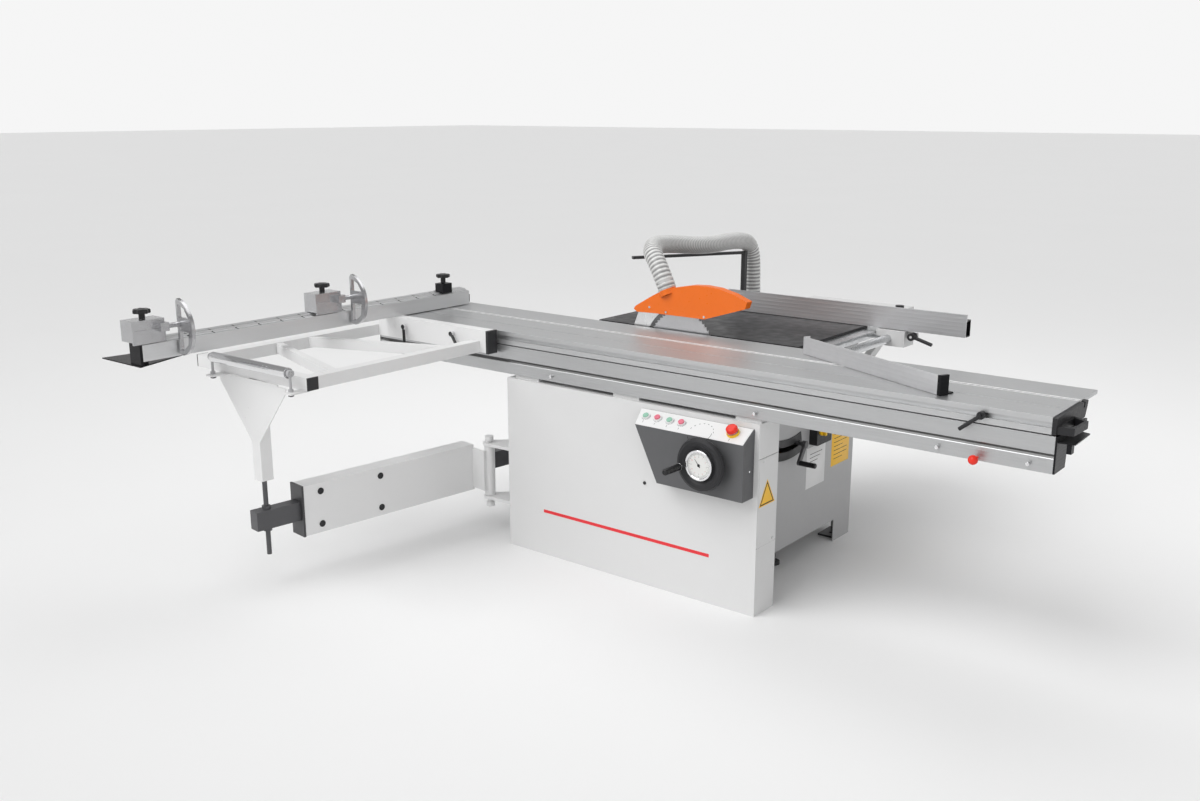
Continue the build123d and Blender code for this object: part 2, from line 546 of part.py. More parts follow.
GUARD_Y0 = 434.0
GUARD_Y1 = 470.0
GUARD_T = 3.0
GUARD = [(-858, 948), (-842, 937), (-751, 940), (-518, 941), (-337, 999), (-328, 1026), (-390, 1050), (-459, 1066),
         (-520, 1070), (-578, 1067), (-660, 1051), (-738, 1025), (-800, 990), (-850, 960)]
PORT_DIR = (-0.42, 0.0, 0.9075)
PORT_R = 35.0
with BuildPart() as blade_guard:
    with BuildSketch(xz_plane(GUARD_Y1)):
        polygon(GUARD)
    extrude(amount=GUARD_Y1 - GUARD_Y0)
    with BuildSketch(xz_plane(GUARD_Y1 - GUARD_T)):
        polygon(GUARD)
        offset(amount=-GUARD_T, mode=Mode.REPLACE)
        polygon([(-846, 925), (-520, 925), (-345, 985), (-345, 1008), (-520, 955), (-846, 955)])
    extrude(amount=GUARD_Y1 - GUARD_Y0 - 2 * GUARD_T, mode=Mode.SUBTRACT)
    rod(-697, BLADE_Y, 1018, PORT_DIR, PORT_R, 66)
    rod(-697, BLADE_Y, 1018, PORT_DIR, PORT_R - 3, 70, Mode.SUBTRACT)
    block(-805, -760, GUARD_Y0 + GUARD_T, KNIFE_Y1 - KNIFE_T, 952, 974)
    block(-805, -760, KNIFE_Y1, GUARD_Y1 - GUARD_T, 952, 974)

HOSE_PATH = [(-708.0, 452.0, 1042.0), (-744.0, 452.0, 1120.0), (-850.0, 520.0, 1195.0), (-872.0, 700.0, 1185.0),
             (-835.0, 915.0, 1158.0), (-836.0, 1150.0, 1165.0), (-835.0, 1300.0, 1140.0),
             (-835.0, 1312.0, 930.0), (-834.0, 1314.0, 700.0), (-835.0, 1285.0, 535.0),
             (-835.0, 1140.0, 500.0), (-835.0, REAR_Y1 + 2, 500.0)]


def bend_radii(points, most=400.0):
    """The bend radius at each inner point: as large as the shorter run leaves room for."""
    radii = []
    for a, b, c in zip(points, points[1:], points[2:]):
        d0 = Vector(*b) - Vector(*a)
        d1 = Vector(*c) - Vector(*b)
        half = math.radians(d0.get_angle(d1)) / 2
        radii.append(min(most, 0.45 * min(d0.length, d1.length) / math.tan(half)))
    return radii


hose_points = [(FX + x, FY + y, z) for x, y, z in HOSE_PATH]
hose_radii = bend_radii(hose_points)
print("hose bend radii", [round(r, 1) for r in hose_radii])
with BuildPart() as dust_hose:
    with BuildLine() as hose_line:
        FilletPolyline(*hose_points, radius=hose_radii)
    with BuildSketch(Plane(origin=hose_line.line @ 0, z_dir=hose_line.line % 0)):
        Circle(HOSE_D / 2)
        Circle(HOSE_D / 2 - 2, mode=Mode.SUBTRACT)
    sweep()
hose_section = math.pi * ((HOSE_D / 2) ** 2 - (HOSE_D / 2 - 2) ** 2)
hose_length = sum(edge.length for edge in hose_line.edges())
print("hose length", round(hose_length, 1), "volume ratio",
      round(dust_hose.part.volume / (hose_section * hose_length), 4))

POST_X = -835.0
POST_Y = 1233.0
ARM_TIP = (-1115.0, 767.0)
with BuildPart() as hose_post:
    block(POST_X - 10, POST_X + 10, POST_Y - 10, POST_Y + 10, 640, 1107)
    block(POST_X - 10, POST_X + 10, REAR_Y1, POST_Y + 10, 640, 660)
    block(POST_X - 40, POST_X + 40, REAR_Y1, REAR_Y1 + 5, 610, 690)
    with BuildSketch(xy_plane(1095)):
        with BuildLine():
            Line((POST_X, POST_Y), ARM_TIP)
        trace(line_width=20)
    extrude(amount=12)

# ======================================== cranks of the saw unit, rip fence =============================
RAIL_END = 1540.0
with BuildPart() as rip_rails:
    rod(RAIL_X, 500, RAIL_Z, (0, 1, 0), RAIL_R, RAIL_END - 500)
    block(TAB_X1, TAB_X1 + 6, 480, RAIL_END, 820, 868)
    block(TAB_X1, TAB_X1 + 58, 480, RAIL_END, 858, 868)
    for y in (540, 1010, 1480):
        rod(TAB_X1, y, RAIL_Z, (1, 0, 0), 7, RAIL_X - TAB_X1)

CAST_Y = (985.0, 1075.0)
with BuildPart() as rip_casting:
    block(-60, 60, *CAST_Y, 815, 878)
    rod(RAIL_X, CAST_Y[0] - 1, RAIL_Z, (0, 1, 0), RAIL_R + FIT, 92, Mode.SUBTRACT)
    block(-61, RAIL_X, CAST_Y[0] - 1, CAST_Y[1] + 1, RAIL_Z - 8.5, RAIL_Z + 8.5, Mode.SUBTRACT)
    block(-30, 30, 1046, 1075, 878, 932)
    block(60, 102, 1016, 1024, 848, 872)
    rod(86, 1017, 860, (0, -1, 0), 5, 33)

with BuildPart() as rip_knob:
    rod(0, 1060.5, 932 + GAP, (0, 0, 1), 6, 18)
    rod(0, 1060.5, 950, (0, 0, 1), 17, 18)

with BuildPart() as rip_lever:
    rod(86, 1015.5, 860, (0, -1, 0), 15, 30)
    with Locations(Plane(origin=(FX + 86, FY + 1000, 860), z_dir=(80, 0, -23))):
        Cylinder(7, 86, align=(Align.CENTER, Align.CENTER, Align.MIN))
    rod(86, 1016, 860, (0, -1, 0), 5 + FIT, 31, Mode.SUBTRACT)

with BuildPart() as rip_fence:
    RF_Z0 = TABLE_H + 1
    with BuildSketch(yz_plane(RF_X0)):
        polygon([(RF_Y, RF_Z0), (RF_Y + 45, RF_Z0), (RF_Y + 45, RF_Z0 + 65), (RF_Y + 8, RF_Z0 + 65),
                 (RF_Y + 8, RF_Z0 + RF_H), (RF_Y, RF_Z0 + RF_H)])
        polygon([(RF_Y + 4, RF_Z0 + 4), (RF_Y + 41, RF_Z0 + 4), (RF_Y + 41, RF_Z0 + 61), (RF_Y + 4, RF_Z0 + 61)],
                mode=Mode.SUBTRACT)
    extrude(amount=RF_X1 - RF_X0)

# ======================================== outrigger =====================================================
arm_u = Vector(-math.sin(math.radians(ARM_A)), -math.cos(math.radians(ARM_A)), 0)
ARM_PLANE = Plane(origin=(FX + HINGE_X, FY + HINGE_Y, 0), x_dir=arm_u, z_dir=(0, 0, 1))
ROD_U = 969.4
leg_at = ARM_PLANE.from_local_coords((ROD_U, -ARM_OFF, 0))
LEG_X = leg_at.X - FX
LEG_Y = leg_at.Y - FY


def arm_block(u0, u1, v0, v1, z0, z1, mode=Mode.ADD):
    """A box along the swing arm: u outwards from the hinge, v to the arm's right."""
    with BuildSketch(ARM_PLANE.offset(z0)) as outline:
        with Locations(((u0 + u1) / 2, (v0 + v1) / 2)):
            Rectangle(abs(u1 - u0), abs(v1 - v0))
    extrude(outline.sketch, amount=z1 - z0, mode=mode)


OUT_Z1 = OUT_Z0 + TUBE_H
OUT_YI = OUT_Y0 + TUBE
NEAR_Y1 = -46.0


def brace(a, b, w, z0, z1, mode=Mode.ADD):
    """A straight bar between two plan positions."""
    along = Vector(*b) - Vector(*a)
    side = along.normalized().rotate(Axis.Z, 90) * (w / 2)
    ends = [Vector(*a) + side, Vector(*b) + side, Vector(*b) - side, Vector(*a) - side]
    with BuildSketch(xy_plane(z0)) as outline:
        Polygon(*[(p.X, p.Y) for p in ends], align=None)
    extrude(outline.sketch, amount=z1 - z0, mode=mode)


ROLL_Y = -932.0
ROLL_Z = 860.0
ROLL_X = (-1735.0, -1300.0)
with BuildPart() as outrigger:
    brace((-1872, -405), (-1285, -194), 30, OUT_Z0 + 5, OUT_Z1 - 2)
    brace((-1872, -550), (-1285, -743), 30, OUT_Z0 + 5, OUT_Z1 - 2)
    block(OUT_X0, OUT_X0 + TUBE, OUT_YI, 0, OUT_Z0, OUT_Z1)
    block(OUT_X1 - TUBE, OUT_X1, OUT_YI, NEAR_Y1, OUT_Z0, OUT_Z1)
    block(OUT_X0, OUT_X1, OUT_Y0, OUT_YI, OUT_Z0, OUT_Z1)
    block(OUT_X0 + TUBE, IN_X1, NEAR_Y1, 0, OUT_Z0, OUT_Z0 + IN_H)
    block(OUT_X0 + WALL, OUT_X0 + TUBE - WALL, OUT_Y0 + 20, -WALL, OUT_Z0 + WALL, OUT_Z1 - WALL, Mode.SUBTRACT)
    block(OUT_X1 - TUBE + WALL, OUT_X1 - WALL, OUT_Y0 + 20, NEAR_Y1, OUT_Z0 + WALL, OUT_Z1 - WALL, Mode.SUBTRACT)
    block(OUT_X0 + WALL, OUT_X1 - WALL, OUT_Y0 + WALL, OUT_YI - WALL, OUT_Z0 + WALL, OUT_Z1 - WALL, Mode.SUBTRACT)
    block(OUT_X0 + TUBE + WALL, IN_X1 - WALL, NEAR_Y1 + WALL, -WALL, OUT_Z0 + WALL, OUT_Z0 + IN_H - WALL,
          Mode.SUBTRACT)
    for x in (-1680, -1400):
        block(x - 20, x + 20, 0, FRONT_Y, 848, 862)
    block(IN_X1, IN_X1 + 12, NEAR_Y1 - 3, 3, OUT_Z0 - 3, OUT_Z0 + IN_H)
    block(OUT_X1, OUT_X1 + 5, OUT_Y0, OUT_YI, OUT_Z0, OUT_Z1)
    block(OUT_X0 - 5, OUT_X0, OUT_Y0, OUT_YI, OUT_Z0, OUT_Z1)

    for x in (ROLL_X[0] - 9, ROLL_X[1] + 9):
        block(x - 15, x + 25, ROLL_Y - 20, OUT_Y0 + 18, OUT_Z0 - 6, OUT_Z0)
        rod(x, ROLL_Y, OUT_Z0 - 16, (0, 0, 1), 5, ROLL_Z - OUT_Z0 + 8)
        rod(x, ROLL_Y, OUT_Z0 - 14, (0, 0, 1), 10, 8)
        rod(x, ROLL_Y, OUT_Z0, (0, 0, 1), 9, 10)
        rod(x - 7, ROLL_Y, ROLL_Z, (1, 0, 0), 13, 14)
        rod(x - 8, ROLL_Y, ROLL_Z, (1, 0, 0), 6 + FIT, 16, Mode.SUBTRACT)

with BuildPart() as outrigger_leg:
    block(LEG_X - LEG_S / 2, LEG_X + LEG_S / 2, LEG_Y - LEG_S / 2, LEG_Y + LEG_S / 2, LEG_Z0, OUT_Z0)
    block(LEG_X - LEG_S / 2 + WALL, LEG_X + LEG_S / 2 - WALL, LEG_Y - LEG_S / 2 + WALL, LEG_Y + LEG_S / 2 - WALL,
          LEG_Z0 + 8, OUT_Z0 + 1, Mode.SUBTRACT)
    for s in (-1, 1):
        with BuildSketch(xz_plane(LEG_Y - LEG_S / 2 + 4)):
            polygon([(LEG_X + s * LEG_S / 2, OUT_Z0), (LEG_X + s * 150, OUT_Z0), (LEG_X + s * 150, OUT_Z0 - 6.5),
                     (LEG_X + s * 196, OUT_Z0 - 6.5), (LEG_X + s * 190, 766),
                     (LEG_X + s * LEG_S / 2, 563)])
        extrude(amount=4)

with BuildPart() as roller:
    rod(ROLL_X[0], ROLL_Y, ROLL_Z, (1, 0, 0), 19, ROLL_X[1] - ROLL_X[0])
    rod(ROLL_X[0] - 17, ROLL_Y, ROLL_Z, (1, 0, 0), 6, ROLL_X[1] - ROLL_X[0] + 34)


def clamp_lever(x, z, dx, dz):
    """A clamping lever on the front of the outrigger's inner tube."""
    rod(x, NEAR_Y1 - 0.5, z, (0, -1, 0), 10, 16)
    with Locations(Plane(origin=(FX + x, FY + NEAR_Y1 - 12, z), z_dir=(dx, -12, dz))):
        Cylinder(6, math.hypot(dx, dz, 12), align=(Align.CENTER, Align.CENTER, Align.MIN))


with BuildPart() as clamp_lever_a:
    clamp_lever(-1686, 850, 16, -66)

with BuildPart() as clamp_lever_b:
    clamp_lever(-1405, 853, 36, -32)

# ======================================== swing arm =====================================================
ARM_Z0 = ARM_Z - ARM_H / 2
ARM_Z1 = ARM_Z + ARM_H / 2
PIN_R = 12.0
ARM_U0 = 28.0
ARM_U1 = 836.0
ARM_V1 = -ARM_OFF + ARM_W / 2
ARM_V0 = -ARM_OFF - ARM_W / 2
BRACKET_Z = (ARM_Z0 - 25.0, ARM_Z1 + 9.0)
BRACKET_T = 12.0

with BuildPart() as swing_arm:
    arm_block(ARM_U0, ARM_U1, ARM_V0, ARM_V1, ARM_Z0, ARM_Z1)
    arm_block(ARM_U0 - 1, ARM_U1 + 1, ARM_V0 + 4, ARM_V1 - 4, ARM_Z0 + 4, ARM_Z1 - 4, Mode.SUBTRACT)
    for u in (60, 780):
        arm_block(u, u + 20, ARM_V0 + 4, ARM_V1 - 4, ARM_Z0 + 4, ARM_Z1 - 4)
        arm_block(u - 1, u + 21, -ARM_OFF - TELE_W / 2 - GAP, -ARM_OFF + TELE_W / 2 + GAP,
                  ARM_Z - TELE_H / 2 - GAP, ARM_Z + TELE_H / 2 + GAP, Mode.SUBTRACT)
    arm_block(ARM_U0, ARM_U0 + 8, ARM_V1 - 1, 0, ARM_Z0 + 12, ARM_Z1 - 12)
    arm_block(0, ARM_U0 + 8, -6, 6, ARM_Z0 + 12, ARM_Z1 - 12)
    rod(HINGE_X, HINGE_Y, BRACKET_Z[0] + BRACKET_T + 1, (0, 0, 1), 22, BRACKET_Z[1] - BRACKET_Z[0] - BRACKET_T - 2)
    rod(HINGE_X, HINGE_Y, BRACKET_Z[0], (0, 0, 1), PIN_R + FIT, 300, Mode.SUBTRACT)
    arm_block(ARM_U1, ARM_U1 + 8, ARM_V0 - 2, ARM_V1 + 2, ARM_Z0 - 2, ARM_Z1 + 2)
    arm_block(ARM_U1 - 1, ARM_U1 + 9, -ARM_OFF - TELE_W / 2 - 2, -ARM_OFF + TELE_W / 2 + 2, ARM_Z - TELE_H / 2 - 2,
              ARM_Z + TELE_H / 2 + 2, Mode.SUBTRACT)

with BuildPart() as telescopic_arm:
    arm_block(-245, 1022, -ARM_OFF - TELE_W / 2, -ARM_OFF + TELE_W / 2, ARM_Z - TELE_H / 2, ARM_Z + TELE_H / 2)
    arm_block(-246, 1014, -ARM_OFF - TELE_W / 2 + 4, -ARM_OFF + TELE_W / 2 - 4, ARM_Z - TELE_H / 2 + 4,
              ARM_Z + TELE_H / 2 - 4, Mode.SUBTRACT)
    rod(LEG_X, LEG_Y, 125, (0, 0, 1), ROD_R, LEG_Z0 - 1 - 125)
    for z in (ARM_Z - TELE_H / 2 - 12, ARM_Z + TELE_H / 2):
        rod(LEG_X, LEG_Y, z, (0, 0, 1), 16, 12)

with BuildPart() as arm_bracket:
    for z in BRACKET_Z:
        with BuildSketch(xy_plane(z)):
            with Locations((HINGE_X, HINGE_Y)):
                Circle(27)
            polygon([(HINGE_X - 4, HINGE_Y - 27), (-CAB_L, 60), (-CAB_L, CAB_D), (REAR_X0, CAB_D), (REAR_X0, 260),
                     (-1200, 250), (HINGE_X - 20, HINGE_Y + 18)])
        extrude(amount=BRACKET_T)
    block(REAR_X0 - 5, REAR_X0, CAB_D + 2, 260, 120, 420)
    rod(HINGE_X, HINGE_Y, BRACKET_Z[0] - 20, (0, 0, 1), PIN_R, BRACKET_Z[1] - BRACKET_Z[0] + 50)
    rod(HINGE_X, HINGE_Y, BRACKET_Z[0] - 36, (0, 0, 1), 18, 18)
    rod(HINGE_X, HINGE_Y, BRACKET_Z[1] + 20, (0, 0, 1), 18, 18)

# ======================================== crosscut fence ================================================
CF_BACK = CF_X - CF_W
CF_TOP = CF_Z0 + 70
CF_PIVOT = (CF_X - CF_W / 2, SLOT_Y)
with BuildPart() as crosscut_fence:
    with BuildSketch(xz_plane(CF_Y1)):
        polygon([(CF_X, CF_Z0), (CF_X, CF_Z0 + CF_H), (CF_X - 20, CF_Z0 + 61), (CF_X - 22, CF_Z0 + 66),
                 (CF_BACK, CF_TOP), (CF_BACK, CF_Z0)])
        polygon([(CF_X - 3, CF_Z0 + 3), (CF_X - 3, CF_Z0 + 54), (CF_X - 24, CF_Z0 + 57), (CF_BACK + 3, CF_Z0 + 62),
                 (CF_BACK + 3, CF_Z0 + 3)], mode=Mode.SUBTRACT)
    extrude(amount=CF_Y1 - CF_Y0)
    rod(*CF_PIVOT, TABLE_H + 0.3, (0, 0, 1), 24, 4.2)
    block(CF_BACK + 10, CF_X - 6, SLOT_Y - 28, SLOT_Y + 28, CF_Z0 + 62, CF_Z0 + 104)
    block(CF_BACK + 4, CF_X - 10, CF_Y1, CF_Y1 + 14, CF_Z0 + 6, CF_Z0 + 40)
    with BuildSketch(xy_plane(CF_Z0 - 18)):
        polygon([(-1990, -1214), (-1740, -1214), (-1815, -1005), (-1965, -1005)])
    extrude(amount=4)
    block(CF_BACK - 4, CF_X, CF_Y0 - 10, CF_Y0, CF_Z0 - 14, CF_TOP)
    block(CF_BACK - 4, CF_X - 20, CF_Y0, CF_Y0 + 30, CF_Z0 - 14, CF_Z0)

with BuildPart() as fence_knob:
    rod(*CF_PIVOT, CF_Z0 + 104 + GAP, (0, 0, 1), 11, 26)
    rod(*CF_PIVOT, CF_Z0 + 128, (0, 0, 1), 31, 16)


def stop_block(y):
    """A stop carrier on the crosscut fence, with an ear for the flag's pin."""
    block(CF_BACK - 4, CF_X + 5, y - 62, y + 62, CF_TOP + GAP, CF_TOP + 74)
    block(CF_X + 0.5, CF_X + 8, y - 62, y + 62, CF_Z0 + 62, CF_TOP + 40)
    block(CF_X + 4, CF_X + 34, y + 30, y + 62, CF_Z0 + 101, CF_Z0 + 131)
    rod(CF_X + 20, y + 60, CF_Z0 + 116, (0, 1, 0), 9, 48)
    rod(CF_X + 20, y + 100, CF_Z0 + 116, (0, 1, 0), 6, 24)


def stop_flag(y):
    """The D-shaped flag that turns on the carrier's pin."""
    x = CF_X
    z = CF_Z0
    with BuildSketch(xz_plane(y + 122)) as outline:
        with BuildLine() as edge:
            Polyline((x + 30, z + 4), (x + 8, z + 8), (x + 6, z + 194), (x + 14, z + 206))
            Spline((x + 14, z + 206), (x + 62, z + 180), (x + 96, z + 106), (x + 78, z + 36), (x + 30, z + 4))
        make_face(edge.edges())
        polygon([(x + 34, z + 22), (x + 18, z + 24), (x + 18, z + 91), (x + 74, z + 91), (x + 66, z + 46)],
                Mode.SUBTRACT)
        polygon([(x + 17, z + 186), (x + 17, z + 140), (x + 76, z + 140), (x + 54, z + 172), (x + 26, z + 186)],
                Mode.SUBTRACT)
        with Locations((x + 20, z + 116)):
            Circle(6 + FIT, mode=Mode.SUBTRACT)
    extrude(outline.sketch, amount=13)


def stop_knob(y):
    """A star knob that clamps a stop carrier."""
    rod(*(CF_PIVOT[0], y), CF_TOP + 74 + GAP, (0, 0, 1), 11, 22)
    rod(*(CF_PIVOT[0], y), CF_TOP + 94, (0, 0, 1), 31, 15)


STOP_Y = (-1171.0, -395.0)
with BuildPart() as stop_carrier_a:
    stop_block(STOP_Y[0])
with BuildPart() as stop_carrier_b:
    stop_block(STOP_Y[1])
with BuildPart() as stop_flag_a:
    stop_flag(STOP_Y[0])
with BuildPart() as stop_flag_b:
    stop_flag(STOP_Y[1])
with BuildPart() as stop_knob_a:
    stop_knob(STOP_Y[0])
with BuildPart() as stop_knob_b:
    stop_knob(STOP_Y[1])

# ======================================== export ========================================================
PIECES = {
    "front_cabinet": front_cabinet, "side_cover": side_cover, "rear_cabinet": rear_cabinet,
    "base_feet": base_feet, "control_box": control_box, "button_plate": button_plate,
    "button_start_main": button_start_main, "button_stop_main": button_stop_main,
    "button_start_scoring": button_start_scoring, "button_stop_scoring": button_stop_scoring,
    "estop_button": estop_button, "handwheel": handwheel, "wheel_grip": wheel_grip, "tilt_shaft": tilt_shaft,
    "crank": crank, "crank_grip": crank_grip, "tilt_shield": tilt_shield,
    "main_switch_plate": main_switch_plate, "main_switch_knob": main_switch_knob, "main_table": main_table,
    "extension_table": extension_table, "beam": beam, "ball_cage": ball_cage, "carriage": carriage,
    "push_handle": push_handle, "slot_lever": slot_lever, "lock_knob": lock_knob, "angled_fence": angled_fence,
    "trunnion_brackets": trunnion_brackets, "tilt_frame": tilt_frame, "scoring_blade": scoring_blade,
    "saw_carriage": saw_carriage, "saw_motor": saw_motor, "arbor": arbor, "saw_blade": saw_blade,
    "riving_knife": riving_knife, "blade_guard": blade_guard, "dust_hose": dust_hose, "hose_post": hose_post,
    "rip_rails": rip_rails, "rip_casting": rip_casting, "rip_knob": rip_knob, "rip_lever": rip_lever,
    "rip_fence": rip_fence, "outrigger": outrigger, "outrigger_leg": outrigger_leg,
    "roller": roller, "clamp_lever_a": clamp_lever_a, "clamp_lever_b": clamp_lever_b, "swing_arm": swing_arm,
    "telescopic_arm": telescopic_arm, "arm_bracket": arm_bracket, "crosscut_fence": crosscut_fence,
    "fence_knob": fence_knob, "stop_carrier_a": stop_carrier_a, "stop_carrier_b": stop_carrier_b,
    "stop_flag_a": stop_flag_a, "stop_flag_b": stop_flag_b, "stop_knob_a": stop_knob_a,
    "stop_knob_b": stop_knob_b,
}
os.makedirs("parts", exist_ok=True)
for label, builder in PIECES.items():
    builder.part.label = label
    export_step(builder.part, "parts/" + label + ".step")
print(len(PIECES), "pieces")
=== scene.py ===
"""Sliding-table panel saw: finishes, fine detail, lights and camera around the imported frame."""
import math

import bpy
from mathutils import Matrix, Vector


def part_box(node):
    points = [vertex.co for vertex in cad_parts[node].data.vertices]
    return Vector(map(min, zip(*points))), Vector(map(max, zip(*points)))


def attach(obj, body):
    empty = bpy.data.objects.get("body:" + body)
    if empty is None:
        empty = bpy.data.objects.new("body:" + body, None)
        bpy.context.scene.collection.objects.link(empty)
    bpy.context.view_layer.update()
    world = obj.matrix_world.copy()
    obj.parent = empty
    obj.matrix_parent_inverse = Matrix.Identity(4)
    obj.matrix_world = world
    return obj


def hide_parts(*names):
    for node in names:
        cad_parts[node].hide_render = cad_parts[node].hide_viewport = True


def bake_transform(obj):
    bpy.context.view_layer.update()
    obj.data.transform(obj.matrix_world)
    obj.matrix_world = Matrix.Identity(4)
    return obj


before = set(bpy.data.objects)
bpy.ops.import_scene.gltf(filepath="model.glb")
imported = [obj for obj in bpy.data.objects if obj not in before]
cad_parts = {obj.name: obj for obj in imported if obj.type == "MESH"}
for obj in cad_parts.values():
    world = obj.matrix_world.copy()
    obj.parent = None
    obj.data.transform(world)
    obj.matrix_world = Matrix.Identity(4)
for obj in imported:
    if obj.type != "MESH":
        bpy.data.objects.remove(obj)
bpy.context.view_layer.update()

MM = 0.001
CORNER = Vector((0.6125, -0.490, 0.0))      # front right-hand bottom corner of the front cabinet


def at(x, y, z):
    """A place measured in millimetres from the front cabinet's right-hand bottom corner."""
    return CORNER + Vector((x, y, z)) * MM


# ------------------------------------------------------------------------------------------ finishes
class Finish:
    """A material under construction: its nodes, its links and its surface shader."""

    def __init__(self, name):
        self.material = bpy.data.materials.new(name)
        self.material.use_nodes = True
        self.nodes = self.material.node_tree.nodes
        self.links = self.material.node_tree.links
        self.shader = self.nodes["Principled BSDF"]
        self.coordinates = self.nodes.new("ShaderNodeTexCoord").outputs["Object"]

    def number(self, operation, first, second=None):
        node = self.nodes.new("ShaderNodeMath")
        node.operation = operation
        for socket, value in zip(node.inputs, (first, second)):
            if value is None:
                continue
            if isinstance(value, (int, float)):
                socket.default_value = value
            else:
                self.links.new(value, socket)
        return node.outputs[0]

    def noise(self, scale, stretch=(1, 1, 1), detail=4.0):
        mapping = self.nodes.new("ShaderNodeMapping")
        mapping.inputs["Scale"].default_value = stretch
        self.links.new(self.coordinates, mapping.inputs["Vector"])
        texture = self.nodes.new("ShaderNodeTexNoise")
        texture.inputs["Scale"].default_value = scale
        texture.inputs["Detail"].default_value = detail
        self.links.new(mapping.outputs["Vector"], texture.inputs["Vector"])
        return texture.outputs["Fac"]

    def between(self, value, low, high):
        node = self.nodes.new("ShaderNodeMapRange")
        node.inputs["From Min"].default_value = 0.25
        node.inputs["From Max"].default_value = 0.75
        node.inputs["To Min"].default_value = low
        node.inputs["To Max"].default_value = high
        self.links.new(value, node.inputs["Value"])
        return node.outputs["Result"]

    def mix(self, factor, first, second):
        node = self.nodes.new("ShaderNodeMix")
        node.data_type = "RGBA"
        self.links.new(factor, node.inputs["Factor"])
        for socket, value in ((node.inputs[6], first), (node.inputs[7], second)):
            if isinstance(value, tuple):
                socket.default_value = (*value, 1.0)
            else:
                self.links.new(value, socket)
        return node.outputs[2]

    def axes(self):
        node = self.nodes.new("ShaderNodeSeparateXYZ")
        self.links.new(self.coordinates, node.inputs[0])
        return node.outputs

    def inside(self, low, high):
        """1 inside a box given by its low and high corners, 0 outside."""
        mask = None
        for axis, lo, hi in zip(self.axes(), low, high):
            for operation, limit in (("GREATER_THAN", lo), ("LESS_THAN", hi)):
                if limit is None:
                    continue
                step = self.number(operation, axis, float(limit))
                mask = step if mask is None else self.number("MULTIPLY", mask, step)
        return mask

    def colour(self, base, vary=0.05, scale=6.0, stretch=(1, 1, 1)):
        darker = tuple(c * (1 - vary) for c in base)
        lighter = tuple(min(1.0, c * (1 + vary)) for c in base)
        return self.mix(self.noise(scale, stretch), darker, lighter)

    def beyond(self, place, direction):
        """1 past a plane through a place, 0 before it."""
        offset = self.nodes.new("ShaderNodeVectorMath")
        offset.operation = "SUBTRACT"
        self.links.new(self.coordinates, offset.inputs[0])
        offset.inputs[1].default_value = place
        along = self.nodes.new("ShaderNodeVectorMath")
        along.operation = "DOT_PRODUCT"
        self.links.new(offset.outputs[0], along.inputs[0])
        along.inputs[1].default_value = direction
        return self.number("GREATER_THAN", along.outputs["Value"], 0.0)

    def ruled(self, colour, low, high, pitch, share, paint):
        """Paints marks a fixed pitch apart along Y, inside a box."""
        turn = self.number("FRACT", self.number("DIVIDE", self.axes()[1], pitch))
        mark = self.number("MULTIPLY", self.number("LESS_THAN", turn, share), self.inside(low, high))
        return self.mix(mark, colour, paint)

    def patches(self, colour, boxes):
        """Paints boxes of other colours over a colour."""
        for low, high, paint in boxes:
            colour = self.mix(self.inside(low, high), colour, paint)
        return colour

    def surface(self, colour, rough, metal=0.0, bump=None, depth=0.0, round_edges=0.0008):
        self.links.new(colour, self.shader.inputs["Base Color"])
        self.links.new(rough, self.shader.inputs["Roughness"])
        self.shader.inputs["Metallic"].default_value = metal
        edges = self.nodes.new("ShaderNodeBevel")
        edges.samples = 4
        edges.inputs["Radius"].default_value = round_edges
        normal = edges.outputs["Normal"]
        if bump is not None:
            node = self.nodes.new("ShaderNodeBump")
            node.inputs["Strength"].default_value = 1.0
            node.inputs["Distance"].default_value = depth
            self.links.new(bump, node.inputs["Height"])
            self.links.new(normal, node.inputs["Normal"])
            normal = node.outputs["Normal"]
        self.links.new(normal, self.shader.inputs["Normal"])
        return self.material


def powder_coat(name, base, boxes=(), rough=0.38, grain=0.00006):
    """Sprayed paint with a fine orange peel and a slightly uneven tone."""
    paint = Finish(name)
    tone = paint.patches(paint.colour(base, 0.025, 3.0), boxes)
    shine = paint.between(paint.noise(40.0), rough - 0.05, rough + 0.07)
    return paint.surface(tone, shine, 0.0, paint.noise(900.0, detail=2.0), grain)


def moulded(name, base, rough=0.45, boxes=(), vary=0.10):
    """Moulded plastic with a fine grain."""
    plastic = Finish(name)
    plastic.shader.inputs["Specular IOR Level"].default_value = 0.35
    tone = plastic.patches(plastic.colour(base, vary, 30.0), boxes)
    shine = plastic.between(plastic.noise(120.0), rough - 0.08, rough + 0.1)
    return plastic.surface(tone, shine, 0.0, plastic.noise(1500.0, detail=2.0), 0.00005)


def bright_metal(name, base, rough, stretch=(1, 1, 1), boxes=(), vary=0.06, grain=0.00002):
    """Bare metal with a grain along one direction."""
    metal = Finish(name)
    tone = metal.patches(metal.colour(base, vary, 60.0, stretch), boxes)
    shine = metal.between(metal.noise(300.0, stretch), rough - 0.06, rough + 0.08)
    return metal.surface(tone, shine, 1.0, metal.noise(900.0, stretch, 2.0), grain)


